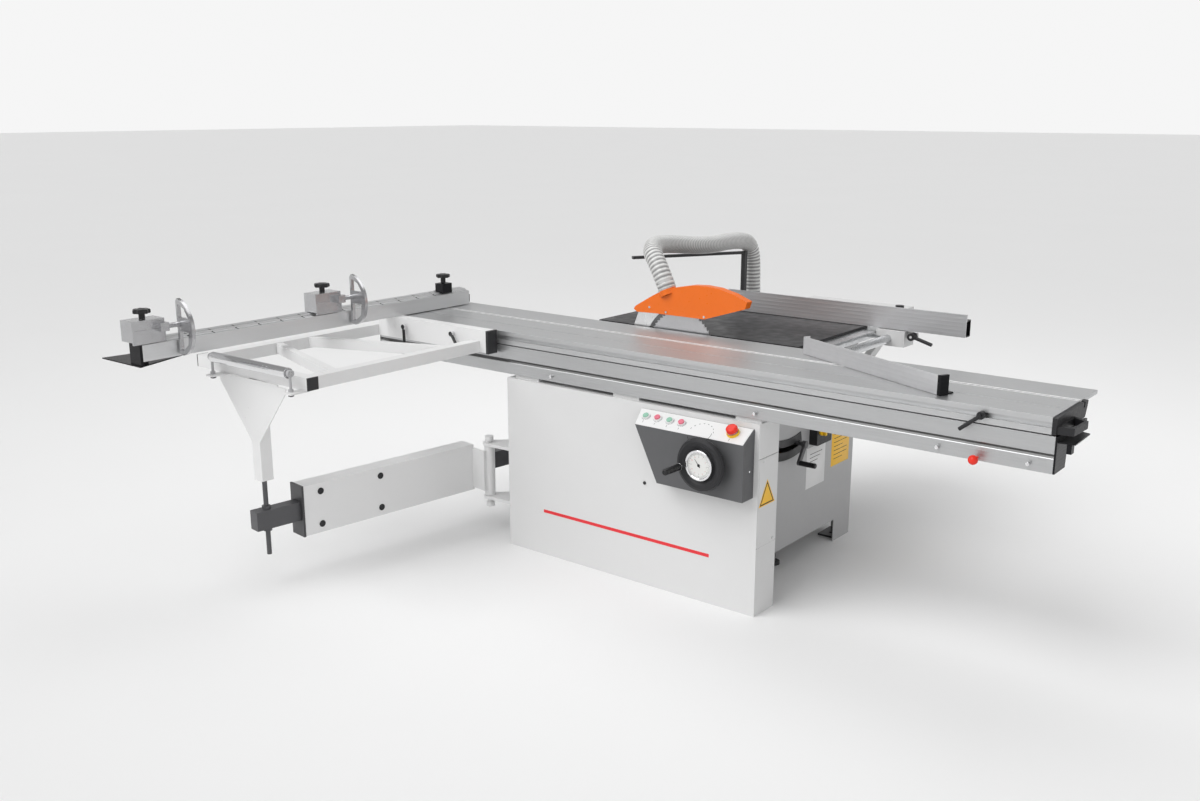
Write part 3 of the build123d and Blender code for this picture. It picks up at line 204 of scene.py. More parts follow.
def extrusion(name, base, groove_axis, pitch, boxes=(), rough=0.36, scales=()):
    """Anodised extrusion: satin grain along its length, with fine grooves across one axis."""
    metal = Finish(name)
    along = (0.03, 1, 1) if groove_axis != 0 else (1, 0.03, 1)
    tone = metal.patches(metal.colour(base, 0.05, 80.0, along), boxes)
    for low, high, pitch_y, share, paint in scales:
        tone = metal.ruled(tone, low, high, pitch_y, share, paint)
    shine = metal.between(metal.noise(400.0, along), rough - 0.05, rough + 0.08)
    across = metal.number("MULTIPLY", metal.axes()[groove_axis], 2 * math.pi / pitch)
    waves = metal.number("POWER", metal.number("ABSOLUTE", metal.number("SINE", across)), 6.0)
    return metal.surface(tone, shine, 0.85, waves, 0.00018)


WHITE = (0.76, 0.76, 0.76)
LIGHT = (0.66, 0.66, 0.66)
BLACK = (0.018, 0.018, 0.02)
RED = (0.72, 0.02, 0.03)

SEAM = (0.16, 0.16, 0.16)
CHROMED = (0.42, 0.42, 0.43)
GRIP = (0.014, 0.014, 0.015)
GUARD_ORANGE = (0.84, 0.155, 0.002)
PORT_GREY = (0.55, 0.55, 0.55)
ARM_CAP_BLACK = (0.045, 0.045, 0.048)

ARM_TURN = math.radians(7.05)               # the swing arm stands this far from square to the table
ARM_HINGE = (-1336, 76)
ARM_ALONG = Vector((-math.sin(ARM_TURN), -math.cos(ARM_TURN), 0))
ARM_NEAR = Vector((math.cos(ARM_TURN), -math.sin(ARM_TURN), 0))
ARM_CAP_START = 0.8357                      # metres from the hinge
PORT_DIRECTION = Vector((-0.42, 0, 0.9075))
PORT_START = 0.022                          # metres from the port's foot on the guard


def swing_arm_finish():
    """White paint, and the black of the end cap from a plane across the arm onwards."""
    paint = Finish("swing_arm_paint")
    cap = paint.beyond(at(*ARM_HINGE, 0) + ARM_ALONG * ARM_CAP_START, ARM_ALONG)
    tone = paint.mix(cap, paint.colour(WHITE, 0.025, 3.0), ARM_CAP_BLACK)
    shine = paint.between(paint.noise(40.0), 0.3, 0.4)
    return paint.surface(tone, shine, 0.0, paint.noise(900.0, detail=2.0), 0.00006)


def guard_finish():
    """Orange moulded hood with a grey hose port."""
    plastic = Finish("guard_and_port")
    port = plastic.beyond(at(-697, 452, 1018) + PORT_DIRECTION * PORT_START, PORT_DIRECTION)
    tone = plastic.mix(port, plastic.colour(GUARD_ORANGE, 0.03, 30.0), PORT_GREY)
    shine = plastic.between(plastic.noise(120.0), 0.26, 0.4)
    return plastic.surface(tone, shine, 0.0, plastic.noise(1500.0, detail=2.0), 0.00005)


def blackened_table():
    """Blackened cast iron, ground along the table."""
    iron = Finish("blackened_table")
    tone = iron.colour((0.020, 0.020, 0.022), 0.35, 12.0, (1, 6, 1))
    shine = iron.between(iron.noise(25.0), 0.32, 0.5)
    return iron.surface(tone, shine, 0.3, iron.noise(700.0, (0.1, 1, 1), 2.0), 0.00006)


stripe = (at(-972, -1, 176), at(-192, 0.6, 189), RED)
front_paint = powder_coat("front_cabinet_paint", LIGHT, boxes=[
    stripe, (at(-3, 0.5, 574.2), at(5, 140, 575.6), SEAM), (at(-3, 0.5, 252.4), at(5, 140, 253.8), SEAM)])
swing_arm_paint = swing_arm_finish()
rear_paint = powder_coat("rear_cabinet_paint", (0.40, 0.40, 0.405))
white_paint = powder_coat("white_paint", WHITE, rough=0.32)
light_paint = powder_coat("light_paint", (0.60, 0.60, 0.60))
outrigger_paint = powder_coat("outrigger_paint", WHITE, rough=0.34, boxes=[
    (at(-1222.3, -60, 780), at(-1200, 20, 900), BLACK),
    (at(-1257.9, -900, 780), at(-1240, -800, 860), BLACK),
    (at(-1920, -900, 780), at(-1900.1, -800, 860), BLACK),
    (at(-1775, -960, 796), at(-1715, -905, 900), CHROMED),
    (at(-1320, -960, 796), at(-1260, -905, 900), CHROMED),
    (at(-1775, -960, 760), at(-1715, -905, 788.7), BLACK),
    (at(-1320, -960, 760), at(-1260, -905, 788.7), BLACK)])
lever_plastic = moulded("lever_plastic", GRIP, rough=0.3, boxes=[
    (at(-1697, -62.5, 839), at(-1675, -44, 861), (0.62, 0.62, 0.63)),
    (at(-1416, -62.5, 842), at(-1394, -44, 864), (0.62, 0.62, 0.63))])
control_paint = powder_coat("control_box_paint", (0.095, 0.096, 0.10), rough=0.5, grain=0.00012)
black_paint = powder_coat("black_paint", (0.025, 0.025, 0.027), rough=0.42)
dark_paint = powder_coat("dark_tube_paint", (0.075, 0.075, 0.08), rough=0.4)
motor_paint = powder_coat("motor_paint", (0.20, 0.23, 0.27))
black_plastic = moulded("black_plastic", BLACK)
grip_plastic = moulded("grip_plastic", GRIP, rough=0.3)
guard_plastic = guard_finish()
red_gloss = moulded("red_gloss", (0.78, 0.03, 0.015), rough=0.2)
green_button = moulded("button_green", (0.28, 0.52, 0.40), rough=0.25)
red_button = moulded("button_red", (0.72, 0.17, 0.24), rough=0.25)
yellow_plastic = moulded("yellow_plastic", (0.85, 0.52, 0.02), rough=0.3)
print_white = powder_coat("printed_plate", (0.78, 0.78, 0.78), rough=0.4, grain=0.00002)
cast_iron = powder_coat("rough_casting", (0.12, 0.125, 0.13), rough=0.6, grain=0.0003)
table_black = blackened_table()
chrome = bright_metal("chrome", (0.80, 0.80, 0.81), 0.12, vary=0.02)
steel = bright_metal("bright_steel", (0.62, 0.63, 0.64), 0.28, (0.05, 1, 1))
ground_steel = bright_metal("ground_steel", (0.74, 0.74, 0.74), 0.3, (1, 1, 0.06))
cast_aluminium = bright_metal("cast_aluminium", (0.52, 0.52, 0.53), 0.22, vary=0.12, grain=0.0002)
# The lighter (0.75) band along the top of the carriage's front face is a painted highlight on its front-top
# edge.
table_alu = extrusion("table_extrusion", (0.56, 0.565, 0.57), 1, 0.009,
                      boxes=[(at(-1900, 253, 874), at(980, 277, 881), (0.95, 0.95, 0.95)),
                             (at(-1900, 11, 866), at(980, 12.5, 881), (0.75, 0.75, 0.76)),
                             (at(-1900, 132, 876), at(980, 136, 881), (0.3, 0.3, 0.3))])
# The dark (0.12) band along the beam's front face at the cove is painted shade where the surface curves in.
beam_alu = extrusion("beam_extrusion", (0.50, 0.505, 0.51), 2, 0.02,
                     boxes=[(at(963.2, 0, 700), at(1100, 300, 830), BLACK),
                            (at(-1950, 0, 700), at(-1908.2, 300, 830), BLACK),
                            (at(-1908, 9, 758), at(963, 17, 771), (0.12, 0.12, 0.12))])
FINE_MARK = (0.22, 0.22, 0.22)
LONG_MARK = (0.02, 0.02, 0.02)
fence_alu = extrusion("long_fence_extrusion", (0.66, 0.665, 0.67), 0, 0.012,
                      boxes=[(at(-2100, -1300, 860), at(-1700, -1198, 960), BLACK),
                             (at(-2100, -1300, 860), at(-1700, -1000, 883.5), BLACK),
                             (at(-1812, 392, 860), at(-1740, 420, 960), BLACK),
                             (at(-1812, 232, 946), at(-1740, 298, 1000), BLACK)],
                      scales=[(at(-1763, -1195, 941), at(-1750, 390, 948), 0.005, 0.25, FINE_MARK),
                              (at(-1789, -1195, 949), at(-1775, 390, 956), 0.005, 0.25, FINE_MARK),
                              (at(-1766, -1195, 941), at(-1749, 390, 948), 0.1, 0.06, LONG_MARK),
                              (at(-1792, -1195, 949), at(-1774, 390, 956), 0.1, 0.06, LONG_MARK)])
rip_alu = extrusion("rip_fence_extrusion", (0.60, 0.60, 0.61), 2, 0.03,
                    boxes=[(at(-800, 1008.5, 870), at(400, 1060, 960), (0.03, 0.03, 0.03))])
short_alu = extrusion("short_fence_extrusion", (0.72, 0.72, 0.73), 2, 0.03,
                      boxes=[(at(583, 0, 870), at(640, 120, 960), BLACK)])

PLAIN = {
    "front_cabinet": front_paint, "side_cover": front_paint, "rear_cabinet": rear_paint,
    "base_feet": black_paint, "control_box": control_paint, "button_plate": print_white,
    "button_start_main": green_button, "button_stop_main": red_button, "button_start_scoring": green_button,
    "button_stop_scoring": red_button, "estop_button": red_gloss, "handwheel": black_plastic,
    "wheel_grip": grip_plastic, "tilt_shaft": chrome, "crank": dark_paint, "crank_grip": grip_plastic,
    "tilt_shield": black_paint, "main_switch_plate": black_plastic, "main_switch_knob": yellow_plastic,
    "main_table": table_black, "extension_table": light_paint, "beam": beam_alu, "ball_cage": black_plastic,
    "carriage": table_alu, "push_handle": black_plastic, "slot_lever": black_plastic,
    "lock_knob": red_gloss, "angled_fence": short_alu, "trunnion_brackets": cast_iron,
    "tilt_frame": cast_iron, "scoring_blade": ground_steel, "saw_carriage": cast_iron,
    "saw_motor": motor_paint, "arbor": steel, "saw_blade": ground_steel, "riving_knife": ground_steel,
    "blade_guard": guard_plastic, "dust_hose": black_plastic, "hose_post": black_paint, "rip_rails": steel,
    "rip_casting": light_paint, "rip_knob": black_plastic, "rip_lever": black_plastic, "rip_fence": rip_alu,
    "outrigger": outrigger_paint, "outrigger_leg": white_paint, "roller": chrome,
    "clamp_lever_a": lever_plastic, "clamp_lever_b": lever_plastic, "swing_arm": swing_arm_paint,
    "telescopic_arm": dark_paint, "arm_bracket": white_paint, "crosscut_fence": fence_alu,
    "fence_knob": black_plastic, "stop_carrier_a": cast_aluminium, "stop_carrier_b": cast_aluminium,
    "stop_flag_a": cast_aluminium, "stop_flag_b": cast_aluminium, "stop_knob_a": black_plastic,
    "stop_knob_b": black_plastic,
}
for node, material in PLAIN.items():
    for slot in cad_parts[node].material_slots:
        slot.material = material


# ------------------------------------------------------------------------------------- camera and room
def look():
    """The one camera."""
    data = bpy.data.cameras.new("viewpoint")
    data.lens = 35.3
    data.sensor_width = 36.0
    data.clip_end = 300.0
    camera = bpy.data.objects.new("viewpoint", data)
    camera.location = (2.5655, -3.818, 1.738)
    camera.rotation_euler = (math.radians(75.98), 0.0, math.radians(38.43))
    bpy.context.collection.objects.link(camera)
    bpy.context.scene.camera = camera


def lamp(name, place, target, size, power):
    """A rectangular light aimed at a place."""
    data = bpy.data.lights.new(name, "AREA")
    data.shape = "RECTANGLE"
    data.size, data.size_y = size
    data.energy = power
    light = bpy.data.objects.new(name, data)
    light.location = place
    light.rotation_euler = (Vector(target) - Vector(place)).to_track_quat("-Z", "Y").to_euler()
    bpy.context.collection.objects.link(light)


def wide_light(name, towards, strength, spread):
    """A distant light with soft edges, shining in a direction."""
    data = bpy.data.lights.new(name, "SUN")
    data.energy = strength
    data.angle = math.radians(spread)
    light = bpy.data.objects.new(name, data)
    light.rotation_euler = Vector(towards).to_track_quat("-Z", "Y").to_euler()
    bpy.context.collection.objects.link(light)


def room():
    """Two distant lights, one overhead, a pale sky and a pale floor."""
    wide_light("key", (0.28, 0.62, -0.75), 2.0, 50)
    wide_light("side", (-0.8, 0.35, -0.6), 0.35, 60)
    lamp("top", (-0.4, 1.2, 4.2), (0, 0.2, 0.4), (4.5, 2.5), 60)
    world = bpy.data.worlds.new("studio")
    world.use_nodes = True
    backdrop = world.node_tree.nodes["Background"]
    backdrop.inputs[0].default_value = (1.0, 1.0, 1.0, 1)
    direction = world.node_tree.nodes.new("ShaderNodeTexCoord").outputs["Generated"]
    height = world.node_tree.nodes.new("ShaderNodeSeparateXYZ")
    world.node_tree.links.new(direction, height.inputs[0])
    fade = world.node_tree.nodes.new("ShaderNodeMapRange")
    for socket, value in (("From Min", 0.12), ("From Max", 0.4), ("To Min", 0.92), ("To Max", 0.30)):
        fade.inputs[socket].default_value = value
    world.node_tree.links.new(height.outputs[2], fade.inputs["Value"])
    world.node_tree.links.new(fade.outputs["Result"], backdrop.inputs[1])
    bpy.context.scene.world = world
    bpy.context.scene.view_settings.view_transform = "Standard"
    ground = Finish("pale_floor")
    tone = ground.colour((0.86, 0.86, 0.86), 0.01, 0.5)
    bpy.ops.object.select_all(action="DESELECT")
    bpy.ops.mesh.primitive_plane_add(size=160.0, location=(0, 0, 0))
    floor = bpy.context.object
    floor.name = "floor"
    floor.data.materials.append(ground.surface(tone, ground.between(ground.noise(3.0), 0.7, 0.8)))


look()
room()


# -------------------------------------------------------------------------------------------- dust hose
HOSE_ROUTE = [(-0.0955, -0.038, 1.042), (-0.1315, -0.038, 1.120), (-0.2375, 0.030, 1.195),
              (-0.2595, 0.210, 1.185), (-0.2225, 0.425, 1.158), (-0.2235, 0.660, 1.165),
              (-0.2225, 0.810, 1.140), (-0.2225, 0.822, 0.930), (-0.2215, 0.824, 0.700),
              (-0.2225, 0.795, 0.535), (-0.2225, 0.650, 0.500), (-0.2225, 0.497, 0.500)]


HOSE_RADIUS = 0.0375
RIB_DEPTH = 0.0018
FINE_PITCH = 0.0105
COARSE_PITCH = 0.0165
FINE_STRETCH = (0.17, 0.98)                 # metres along the hose
HOSE_STEP = 0.0019
HOSE_SIDES = 28


def hose_line():
    """Points along the hose's own smooth line."""
    curve = bpy.data.curves.new("dust_hose_route", "CURVE")
    curve.dimensions = "3D"
    curve.resolution_u = 48
    spline = curve.splines.new("NURBS")
    spline.points.add(len(HOSE_ROUTE) - 1)
    for point, place in zip(spline.points, HOSE_ROUTE):
        point.co = (*place, 1.0)
    spline.order_u = 3
    spline.use_endpoint_u = True
    route = bpy.data.objects.new("dust_hose_route", curve)
    bpy.context.collection.objects.link(route)
    bpy.context.view_layer.update()
    mesh = bpy.data.meshes.new_from_object(route.evaluated_get(bpy.context.evaluated_depsgraph_get()))
    points = [vertex.co.copy() for vertex in mesh.vertices]
    bpy.data.objects.remove(route)
    bpy.data.meshes.remove(mesh)
    return points


def spaced(points, step):
    """The same line with points a fixed step apart: (place, distance from the start)."""
    result = [(points[0].copy(), 0.0)]
    travelled = 0.0
    wanted = step
    for a, b in zip(points, points[1:]):
        run = (b - a).length
        while run > 0 and travelled + run >= wanted:
            result.append((a.lerp(b, (wanted - travelled) / run), wanted))
            wanted += step
        travelled += run
    result.append((points[-1].copy(), travelled))
    return result


def hose_radius(s):
    """The hose's radius at a distance along it."""
    return HOSE_RADIUS - RIB_DEPTH * (1 - rib(s) ** 1.6)


def rib(s):
    """1 on the crest of a rib and 0 between two, closer together on the stretch over the machine."""
    pitch = FINE_PITCH if FINE_STRETCH[0] < s < FINE_STRETCH[1] else COARSE_PITCH
    return 0.5 + 0.5 * math.cos(2 * math.pi * s / pitch)


def ribbed_hose():
    """A tube of rings along the hose's line, each vertex marked with its height on a rib."""
    points = hose_line()
    places = spaced(points, HOSE_STEP)
    sides = HOSE_SIDES
    verts = []
    faces = []
    across = Vector((0, 1, 0))
    for i, (place, s) in enumerate(places):
        ahead = places[min(i + 1, len(places) - 1)][0] - places[max(i - 1, 0)][0]
        ahead.normalize()
        across = (across - ahead * across.dot(ahead)).normalized()
        side = ahead.cross(across)
        for k in range(sides):
            turn = 2 * math.pi * k / sides
            verts.append(place + (across * math.cos(turn) + side * math.sin(turn)) * hose_radius(s))
    for i in range(len(places) - 1):
        for k in range(sides):
            a = i * sides + k
            b = i * sides + (k + 1) % sides
            faces.append((a, b, b + sides, a + sides))
    faces.append(tuple(reversed(range(sides))))
    last = (len(places) - 1) * sides
    faces.append(tuple(range(last, last + sides)))
    mesh = bpy.data.meshes.new("ribbed_dust_hose")
    mesh.from_pydata(verts, [], faces)
    mesh.shade_smooth()
    crest = mesh.attributes.new("rib", "FLOAT", "POINT")
    for i, (place, s) in enumerate(places):
        for k in range(sides):
            crest.data[i * sides + k].value = rib(s)
    hose = bpy.data.objects.new("ribbed_dust_hose", mesh)
    bpy.context.collection.objects.link(hose)
    return hose, points


def hose_finish():
    """Dull film between the ribs and a paler tone on their crests."""
    film = Finish("hose_film")
    crest = film.nodes.new("ShaderNodeAttribute")
    crest.attribute_name = "rib"
    tone = film.mix(crest.outputs["Fac"], film.colour((0.20, 0.20, 0.20), 0.2, 14.0),
                    film.colour((0.70, 0.70, 0.69), 0.08, 14.0))
    material = film.surface(tone, film.between(film.noise(90.0), 0.24, 0.4), 0.0, film.noise(500.0), 0.0001)
    film.shader.inputs["Coat Weight"].default_value = 0.35
    return material


hose, hose_points = ribbed_hose()
hose.data.materials.append(hose_finish())
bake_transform(hose)
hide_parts("dust_hose")


# -------------------------------------------------------------------------------------- shaping by hand
def clear():
    """Selects nothing."""
    bpy.ops.object.select_all(action="DESELECT")


def edit():
    """Opens the active piece for editing, all of it selected."""
    bpy.ops.object.mode_set(mode="EDIT")
    bpy.ops.mesh.select_mode(type="VERT")
    bpy.ops.mesh.select_all(action="SELECT")


def leave():
    """Turns the faces outwards and ends the editing."""
    bpy.ops.mesh.normals_make_consistent(inside=False)
    bpy.ops.object.mode_set(mode="OBJECT")


def select_vertices(wanted):
    """Selects the vertices for which wanted(place) is true, and nothing else."""
    bpy.ops.mesh.select_all(action="DESELECT")
    bpy.ops.mesh.select_mode(type="VERT")
    bpy.ops.object.mode_set(mode="OBJECT")
    for vertex in bpy.context.object.data.vertices:
        vertex.select = wanted(vertex.co)
    bpy.ops.object.mode_set(mode="EDIT")


def settle(name, place, axis, material, body, spin=0.0, smooth=35):
    """Stands a piece modelled upright at the origin in its place, and hangs it on its body."""
    piece = bpy.context.object
    piece.name = name
    piece.data.name = name
    turn = Vector(axis).to_track_quat("Z", "Y").to_matrix().to_4x4() @ Matrix.Rotation(spin, 4, "Z")
    piece.matrix_world = Matrix.Translation(place) @ turn
    clear()
    piece.select_set(True)
    bpy.ops.object.transform_apply(location=True, rotation=True, scale=True)
    bpy.ops.object.shade_smooth_by_angle(angle=math.radians(smooth))
    piece.data.materials.clear()
    piece.data.materials.append(material)
    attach(piece, body)
    clear()
    return piece


def copy_to(piece, name, shift, body, spin=None):
    """A second piece with its own mesh, moved by shift, after a turn about an axis through a place."""
    twin = piece.copy()
    twin.data = piece.data.copy()
    twin.parent = None
    twin.name = name
    twin.data.name = name
    move = Matrix.Translation(shift)
    if spin is not None:
        centre, axis, angle = spin
        turn = Matrix.Rotation(angle, 4, axis)
        move = move @ Matrix.Translation(centre) @ turn @ Matrix.Translation(-centre)
    twin.matrix_world = Matrix.Identity(4)
    twin.data.transform(move)
    bpy.context.collection.objects.link(twin)
    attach(twin, body)
    return twin


def grow(steps):
    """Extrudes the selected face through (radius, height) steps."""
    radius, height = steps[0]
    for wide, high in steps[1:]:
        bpy.ops.mesh.extrude_region_move(TRANSFORM_OT_translate={"value": (0, 0, (high - height) * MM)})
        factor = wide / radius
        bpy.ops.transform.resize(value=(factor, factor, 1), center_override=(0, 0, 0))
        radius, height = wide, high


def turned(name, steps, place, axis, material, body, sides=40, spin=0.0, smooth=35):
    """A piece turned on a lathe: steps are (radius, height) in millimetres along its axis.

    Steps that come back to where they began make a ring with a hole."""
    clear()
    radius, height = steps[0]
    ring = steps[0] == steps[-1]
    fill = "NOTHING" if ring else "NGON"
    bpy.ops.mesh.primitive_circle_add(vertices=sides, radius=radius * MM, fill_type=fill,
                                      location=(0, 0, height * MM))
    bpy.ops.object.transform_apply(location=True)
    edit()
    grow(steps)
    if ring:
        bpy.ops.mesh.select_all(action="SELECT")
        bpy.ops.mesh.remove_doubles(threshold=0.00001)
    leave()
    return settle(name, place, axis, material, body, spin, smooth)


def lobed(name, steps, lobes, depth, place, axis, material, body):
    """A star knob: every other pair of corners of its outline is drawn in, and the corners are rounded."""
    clear()
    radius, height = steps[0]
    bpy.ops.mesh.primitive_circle_add(vertices=lobes * 4, radius=radius * MM, fill_type="NGON",
                                      location=(0, 0, height * MM))
    bpy.ops.object.transform_apply(location=True)
    edit()
    step = 2 * math.pi / lobes
    select_vertices(lambda p: (math.atan2(p.y, p.x) + math.pi + 0.01) % step > step * 0.49
                    and (math.atan2(p.y, p.x) + math.pi + 0.01) % step < step * 0.77)
    bpy.ops.transform.resize(value=(depth, depth, 1), center_override=(0, 0, 0))
    bpy.ops.mesh.select_all(action="SELECT")
    bpy.ops.mesh.bevel(offset=2.2 * MM, segments=4, affect="VERTICES")
    bpy.ops.mesh.select_all(action="SELECT")
    grow(steps)
    leave()
    return settle(name, place, axis, material, body)


def plate(name, size, corner, place, axis, material, body, spin=0.0, edge=0.3):
    """A flat plate with rounded corners: size is (length, width, thickness) in millimetres."""
    clear()
    bpy.ops.mesh.primitive_cube_add(size=1, location=(0, 0, size[2] / 2 * MM))
    bpy.context.object.scale = tuple(s * MM for s in size)
    bpy.ops.object.transform_apply(location=True, scale=True)
    edit()
    mesh = bpy.context.object.data
    bpy.ops.mesh.select_all(action="DESELECT")
    bpy.ops.mesh.select_mode(type="EDGE")
    bpy.ops.object.mode_set(mode="OBJECT")
    for line in mesh.edges:
        a, b = (mesh.vertices[i].co for i in line.vertices)
        line.select = abs(a.z - b.z) > 1e-6
    bpy.ops.object.mode_set(mode="EDIT")
    bpy.ops.mesh.bevel(offset=corner * MM, segments=5, affect="EDGES")
    select_vertices(lambda p: p.z > size[2] * MM - 1e-6)
    bpy.ops.mesh.select_mode(type="FACE")
    bpy.ops.mesh.bevel(offset=edge * MM, segments=2, affect="EDGES")
    leave()
    return settle(name, place, axis, material, body, spin)


def strip_arc(name, radius, width, start, sweep, thick, place, axis, material, body, spin=0.0):
    """A curved printed line: a short quad spun through an angle, then given a thickness."""
    clear()
    bpy.ops.mesh.primitive_plane_add(size=1)
    bpy.context.object.scale = (width * MM, 0.0001, 1)
    bpy.context.object.location = (radius * MM, 0, 0)
    bpy.ops.object.transform_apply(location=True, scale=True)
    edit()
    select_vertices(lambda p: p.y > 0)
    steps = max(6, int(abs(sweep) / math.radians(6)))
    bpy.ops.mesh.spin(steps=steps, angle=sweep, center=(0, 0, 0), axis=(0, 0, 1))
    bpy.ops.mesh.select_all(action="SELECT")
    bpy.ops.mesh.extrude_region_move(TRANSFORM_OT_translate={"value": (0, 0, thick * MM)})
    bpy.ops.mesh.select_all(action="SELECT")
    bpy.ops.mesh.remove_doubles(threshold=0.000005)
    leave()
    return settle(name, place, axis, material, body, spin + start)


def figure(name, words, size, place, axis, material, body, spin=0.0):
    """A number on a dial."""
    clear()
    bpy.ops.object.text_add(location=(0, 0, 0))
    letters = bpy.context.object
    letters.data.body = words
    letters.data.size = size * MM
    letters.data.align_x = "CENTER"
    letters.data.align_y = "CENTER"
    letters.data.extrude = 0.00015
    letters.data.resolution_u = 3
    bpy.ops.object.convert(target="MESH")
    return settle(name, place, axis, material, body, spin)


FRONT = (0, -1, 0)
REAR = (0, 1, 0)
SIDE = (1, 0, 0)
UP = (0, 0, 1)


# ------------------------------------------------------------------------------------------- saw blade
TEETH = 60
BLADE_RADIUS = 157.5
BLADE_THICK = 3.2
BLADE_CENTRE = (-636, 803.5)
GULLET = 0.945                              # share of the radius at the foot of a tooth
BLADE_RING = [(24, 0), (52, 0), (52, 0.5), (50, 0.8), (24, 0.8), (24, 0)]


def toothed_blade():
    """The main blade, with a tooth at every second corner, and the flange rings on its two faces."""
    clear()
    bpy.ops.mesh.primitive_circle_add(vertices=TEETH * 2, radius=BLADE_RADIUS * MM, fill_type="NGON")
    edit()
    step = 2 * math.pi / TEETH
    select_vertices(lambda p: (math.atan2(p.y, p.x) + math.pi + 0.01) % step > step * 0.4)
    bpy.ops.transform.resize(value=(GULLET, GULLET, 1), center_override=(0, 0, 0))
    bpy.ops.transform.rotate(value=step * 0.36, orient_axis="Z", center_override=(0, 0, 0))
    bpy.ops.mesh.select_all(action="SELECT")
    bpy.ops.mesh.extrude_region_move(TRANSFORM_OT_translate={"value": (0, 0, BLADE_THICK * MM)})
    leave()
    x, z = BLADE_CENTRE
    blade = settle("toothed_saw_blade", at(x, 453.6, z), FRONT, blade_steel, "saw_spindle", smooth=20)
    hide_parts("saw_blade")
    for side, y, out in (("front", 450.4, FRONT), ("rear", 453.65, REAR)):
        turned("blade_ring_" + side, BLADE_RING, at(x, y, z), out, steel, "saw_spindle", sides=48)


blade_steel = bright_metal("blade_steel", (0.50, 0.50, 0.51), 0.32, vary=0.05)
ring_metal = bright_metal("bright_ring", (0.82, 0.82, 0.83), 0.18)
ink = moulded("printed_ink", (0.02, 0.02, 0.02), 0.6)
ink_red = moulded("printed_red", (0.55, 0.05, 0.05), 0.6)
dial_white = powder_coat("dial_face", (0.72, 0.72, 0.70), rough=0.5, grain=0.00001)
label_yellow = powder_coat("label_yellow", (0.88, 0.50, 0.02), rough=0.4, grain=0.00001)
label_white = powder_coat("label_white", (0.72, 0.72, 0.72), rough=0.4, grain=0.00001)
toothed_blade()


# ------------------------------------------------------------------------------- handwheel and its dial
WHEEL = (-165, 553)
FIGURE_RADIUS = 31
GRIP_RADIUS = 76
GRIP_ANGLE = math.radians(192)
HOURS = 12                                  # long marks and figures round the dial
MINUTES = 60                                # all marks round the dial
BRIGHT_RING = [(46, 0), (54, 0), (54, 1.2), (52.5, 2.4), (47.6, 2.6), (46, 1.2), (46, 0)]


def wheel_dial():
    """The angle gauge in the handwheel's hub: face, hub, bright ring, needle, marks and figures."""
    x, z = WHEEL
    face = at(x, -118.1, z)
    turned("dial_face", [(43.6, 0), (43.6, 0.5), (43.2, 0.8)], face, FRONT, dial_white, "tilt_wheel", 64)
    turned("dial_hub", [(5.5, 0), (5.5, 1.6), (4.2, 2.4), (1.5, 2.6)], face, FRONT, ink, "tilt_wheel", 24)
    turned("dial_bright_ring", BRIGHT_RING, at(x, -121.0, z), FRONT, ring_metal, "tilt_wheel", 72)
    turned("dial_needle", [(0.4, -9), (1.5, -8), (1.3, 0), (0.35, 28), (0.1, 29)], at(x, -119.9, z),
           (-0.62, 0, 0.78), ink, "tilt_wheel", 12)
    mark = plate("dial_mark_0", (5.0, 0.9, 0.5), 0.3, at(x, -118.8, z) + Vector((0.0385, 0, 0)), FRONT, ink,
                 "tilt_wheel", edge=0.1)
    small = plate("dial_tick_0", (2.6, 0.5, 0.5), 0.2, at(x, -118.8, z) + Vector((0.0397, 0, 0)), FRONT, ink,
                  "tilt_wheel", edge=0.1)
    centre = at(x, 0, z)
    still = Vector((0, 0, 0))
    for i in range(1, HOURS):
        copy_to(mark, f"dial_mark_{i}", still, "tilt_wheel", (centre, "Y", math.tau * i / HOURS))
    for i in range(1, MINUTES):
        if i % 5:
            copy_to(small, f"dial_tick_{i}", still, "tilt_wheel", (centre, "Y", math.tau * i / MINUTES))
    for i in range(HOURS):
        turn = math.tau * i / HOURS
        where = at(x + FIGURE_RADIUS * math.sin(turn), -118.85, z + FIGURE_RADIUS * math.cos(turn))
        colour = ink_red if i % 3 else ink
        figure(f"dial_figure_{i}", str(i), 6.0, where, FRONT, colour, "tilt_wheel", math.pi)


wheel_dial()
turned("wheel_grip_ferrule", [(7.5, 0), (9, 1), (9, 8), (12.3, 12), (12.3, 16), (10, 18)],
       at(WHEEL[0] + GRIP_RADIUS * math.cos(GRIP_ANGLE), -112, WHEEL[1] + GRIP_RADIUS * math.sin(GRIP_ANGLE)),
       FRONT, chrome, "wheel_handle", 32)


# --------------------------------------------------------------------------------------- control panel
SLOPE_OUT = Vector((0, -0.5234, 0.8521))
SLOPE_UP = Vector((0, 0.8521, 0.5234))


BUTTONS = (("start_main", -449), ("stop_main", -398), ("start_scoring", -346), ("stop_scoring", -295))
BUTTON_COLLAR = [(15.1, 0), (16.8, 0), (16.8, 1.6), (15.9, 2.4), (15.1, 2.4), (15.1, 0)]
EMERGENCY_COLLAR = [(20.2, 0), (23, 0), (23, 8.0), (21.8, 9.5), (20.2, 9.5), (20.2, 0)]
SCALE_CENTRE = (-203, 15)                   # across and up the slope
SCALE_RADIUS = 44
TICK_RADIUS = 49


def on_slope(x, up, out=1.5):
    """A place on the control box's sloping plate."""
    return at(x, -70, 637) + (SLOPE_UP * up + SLOPE_OUT * out) * MM


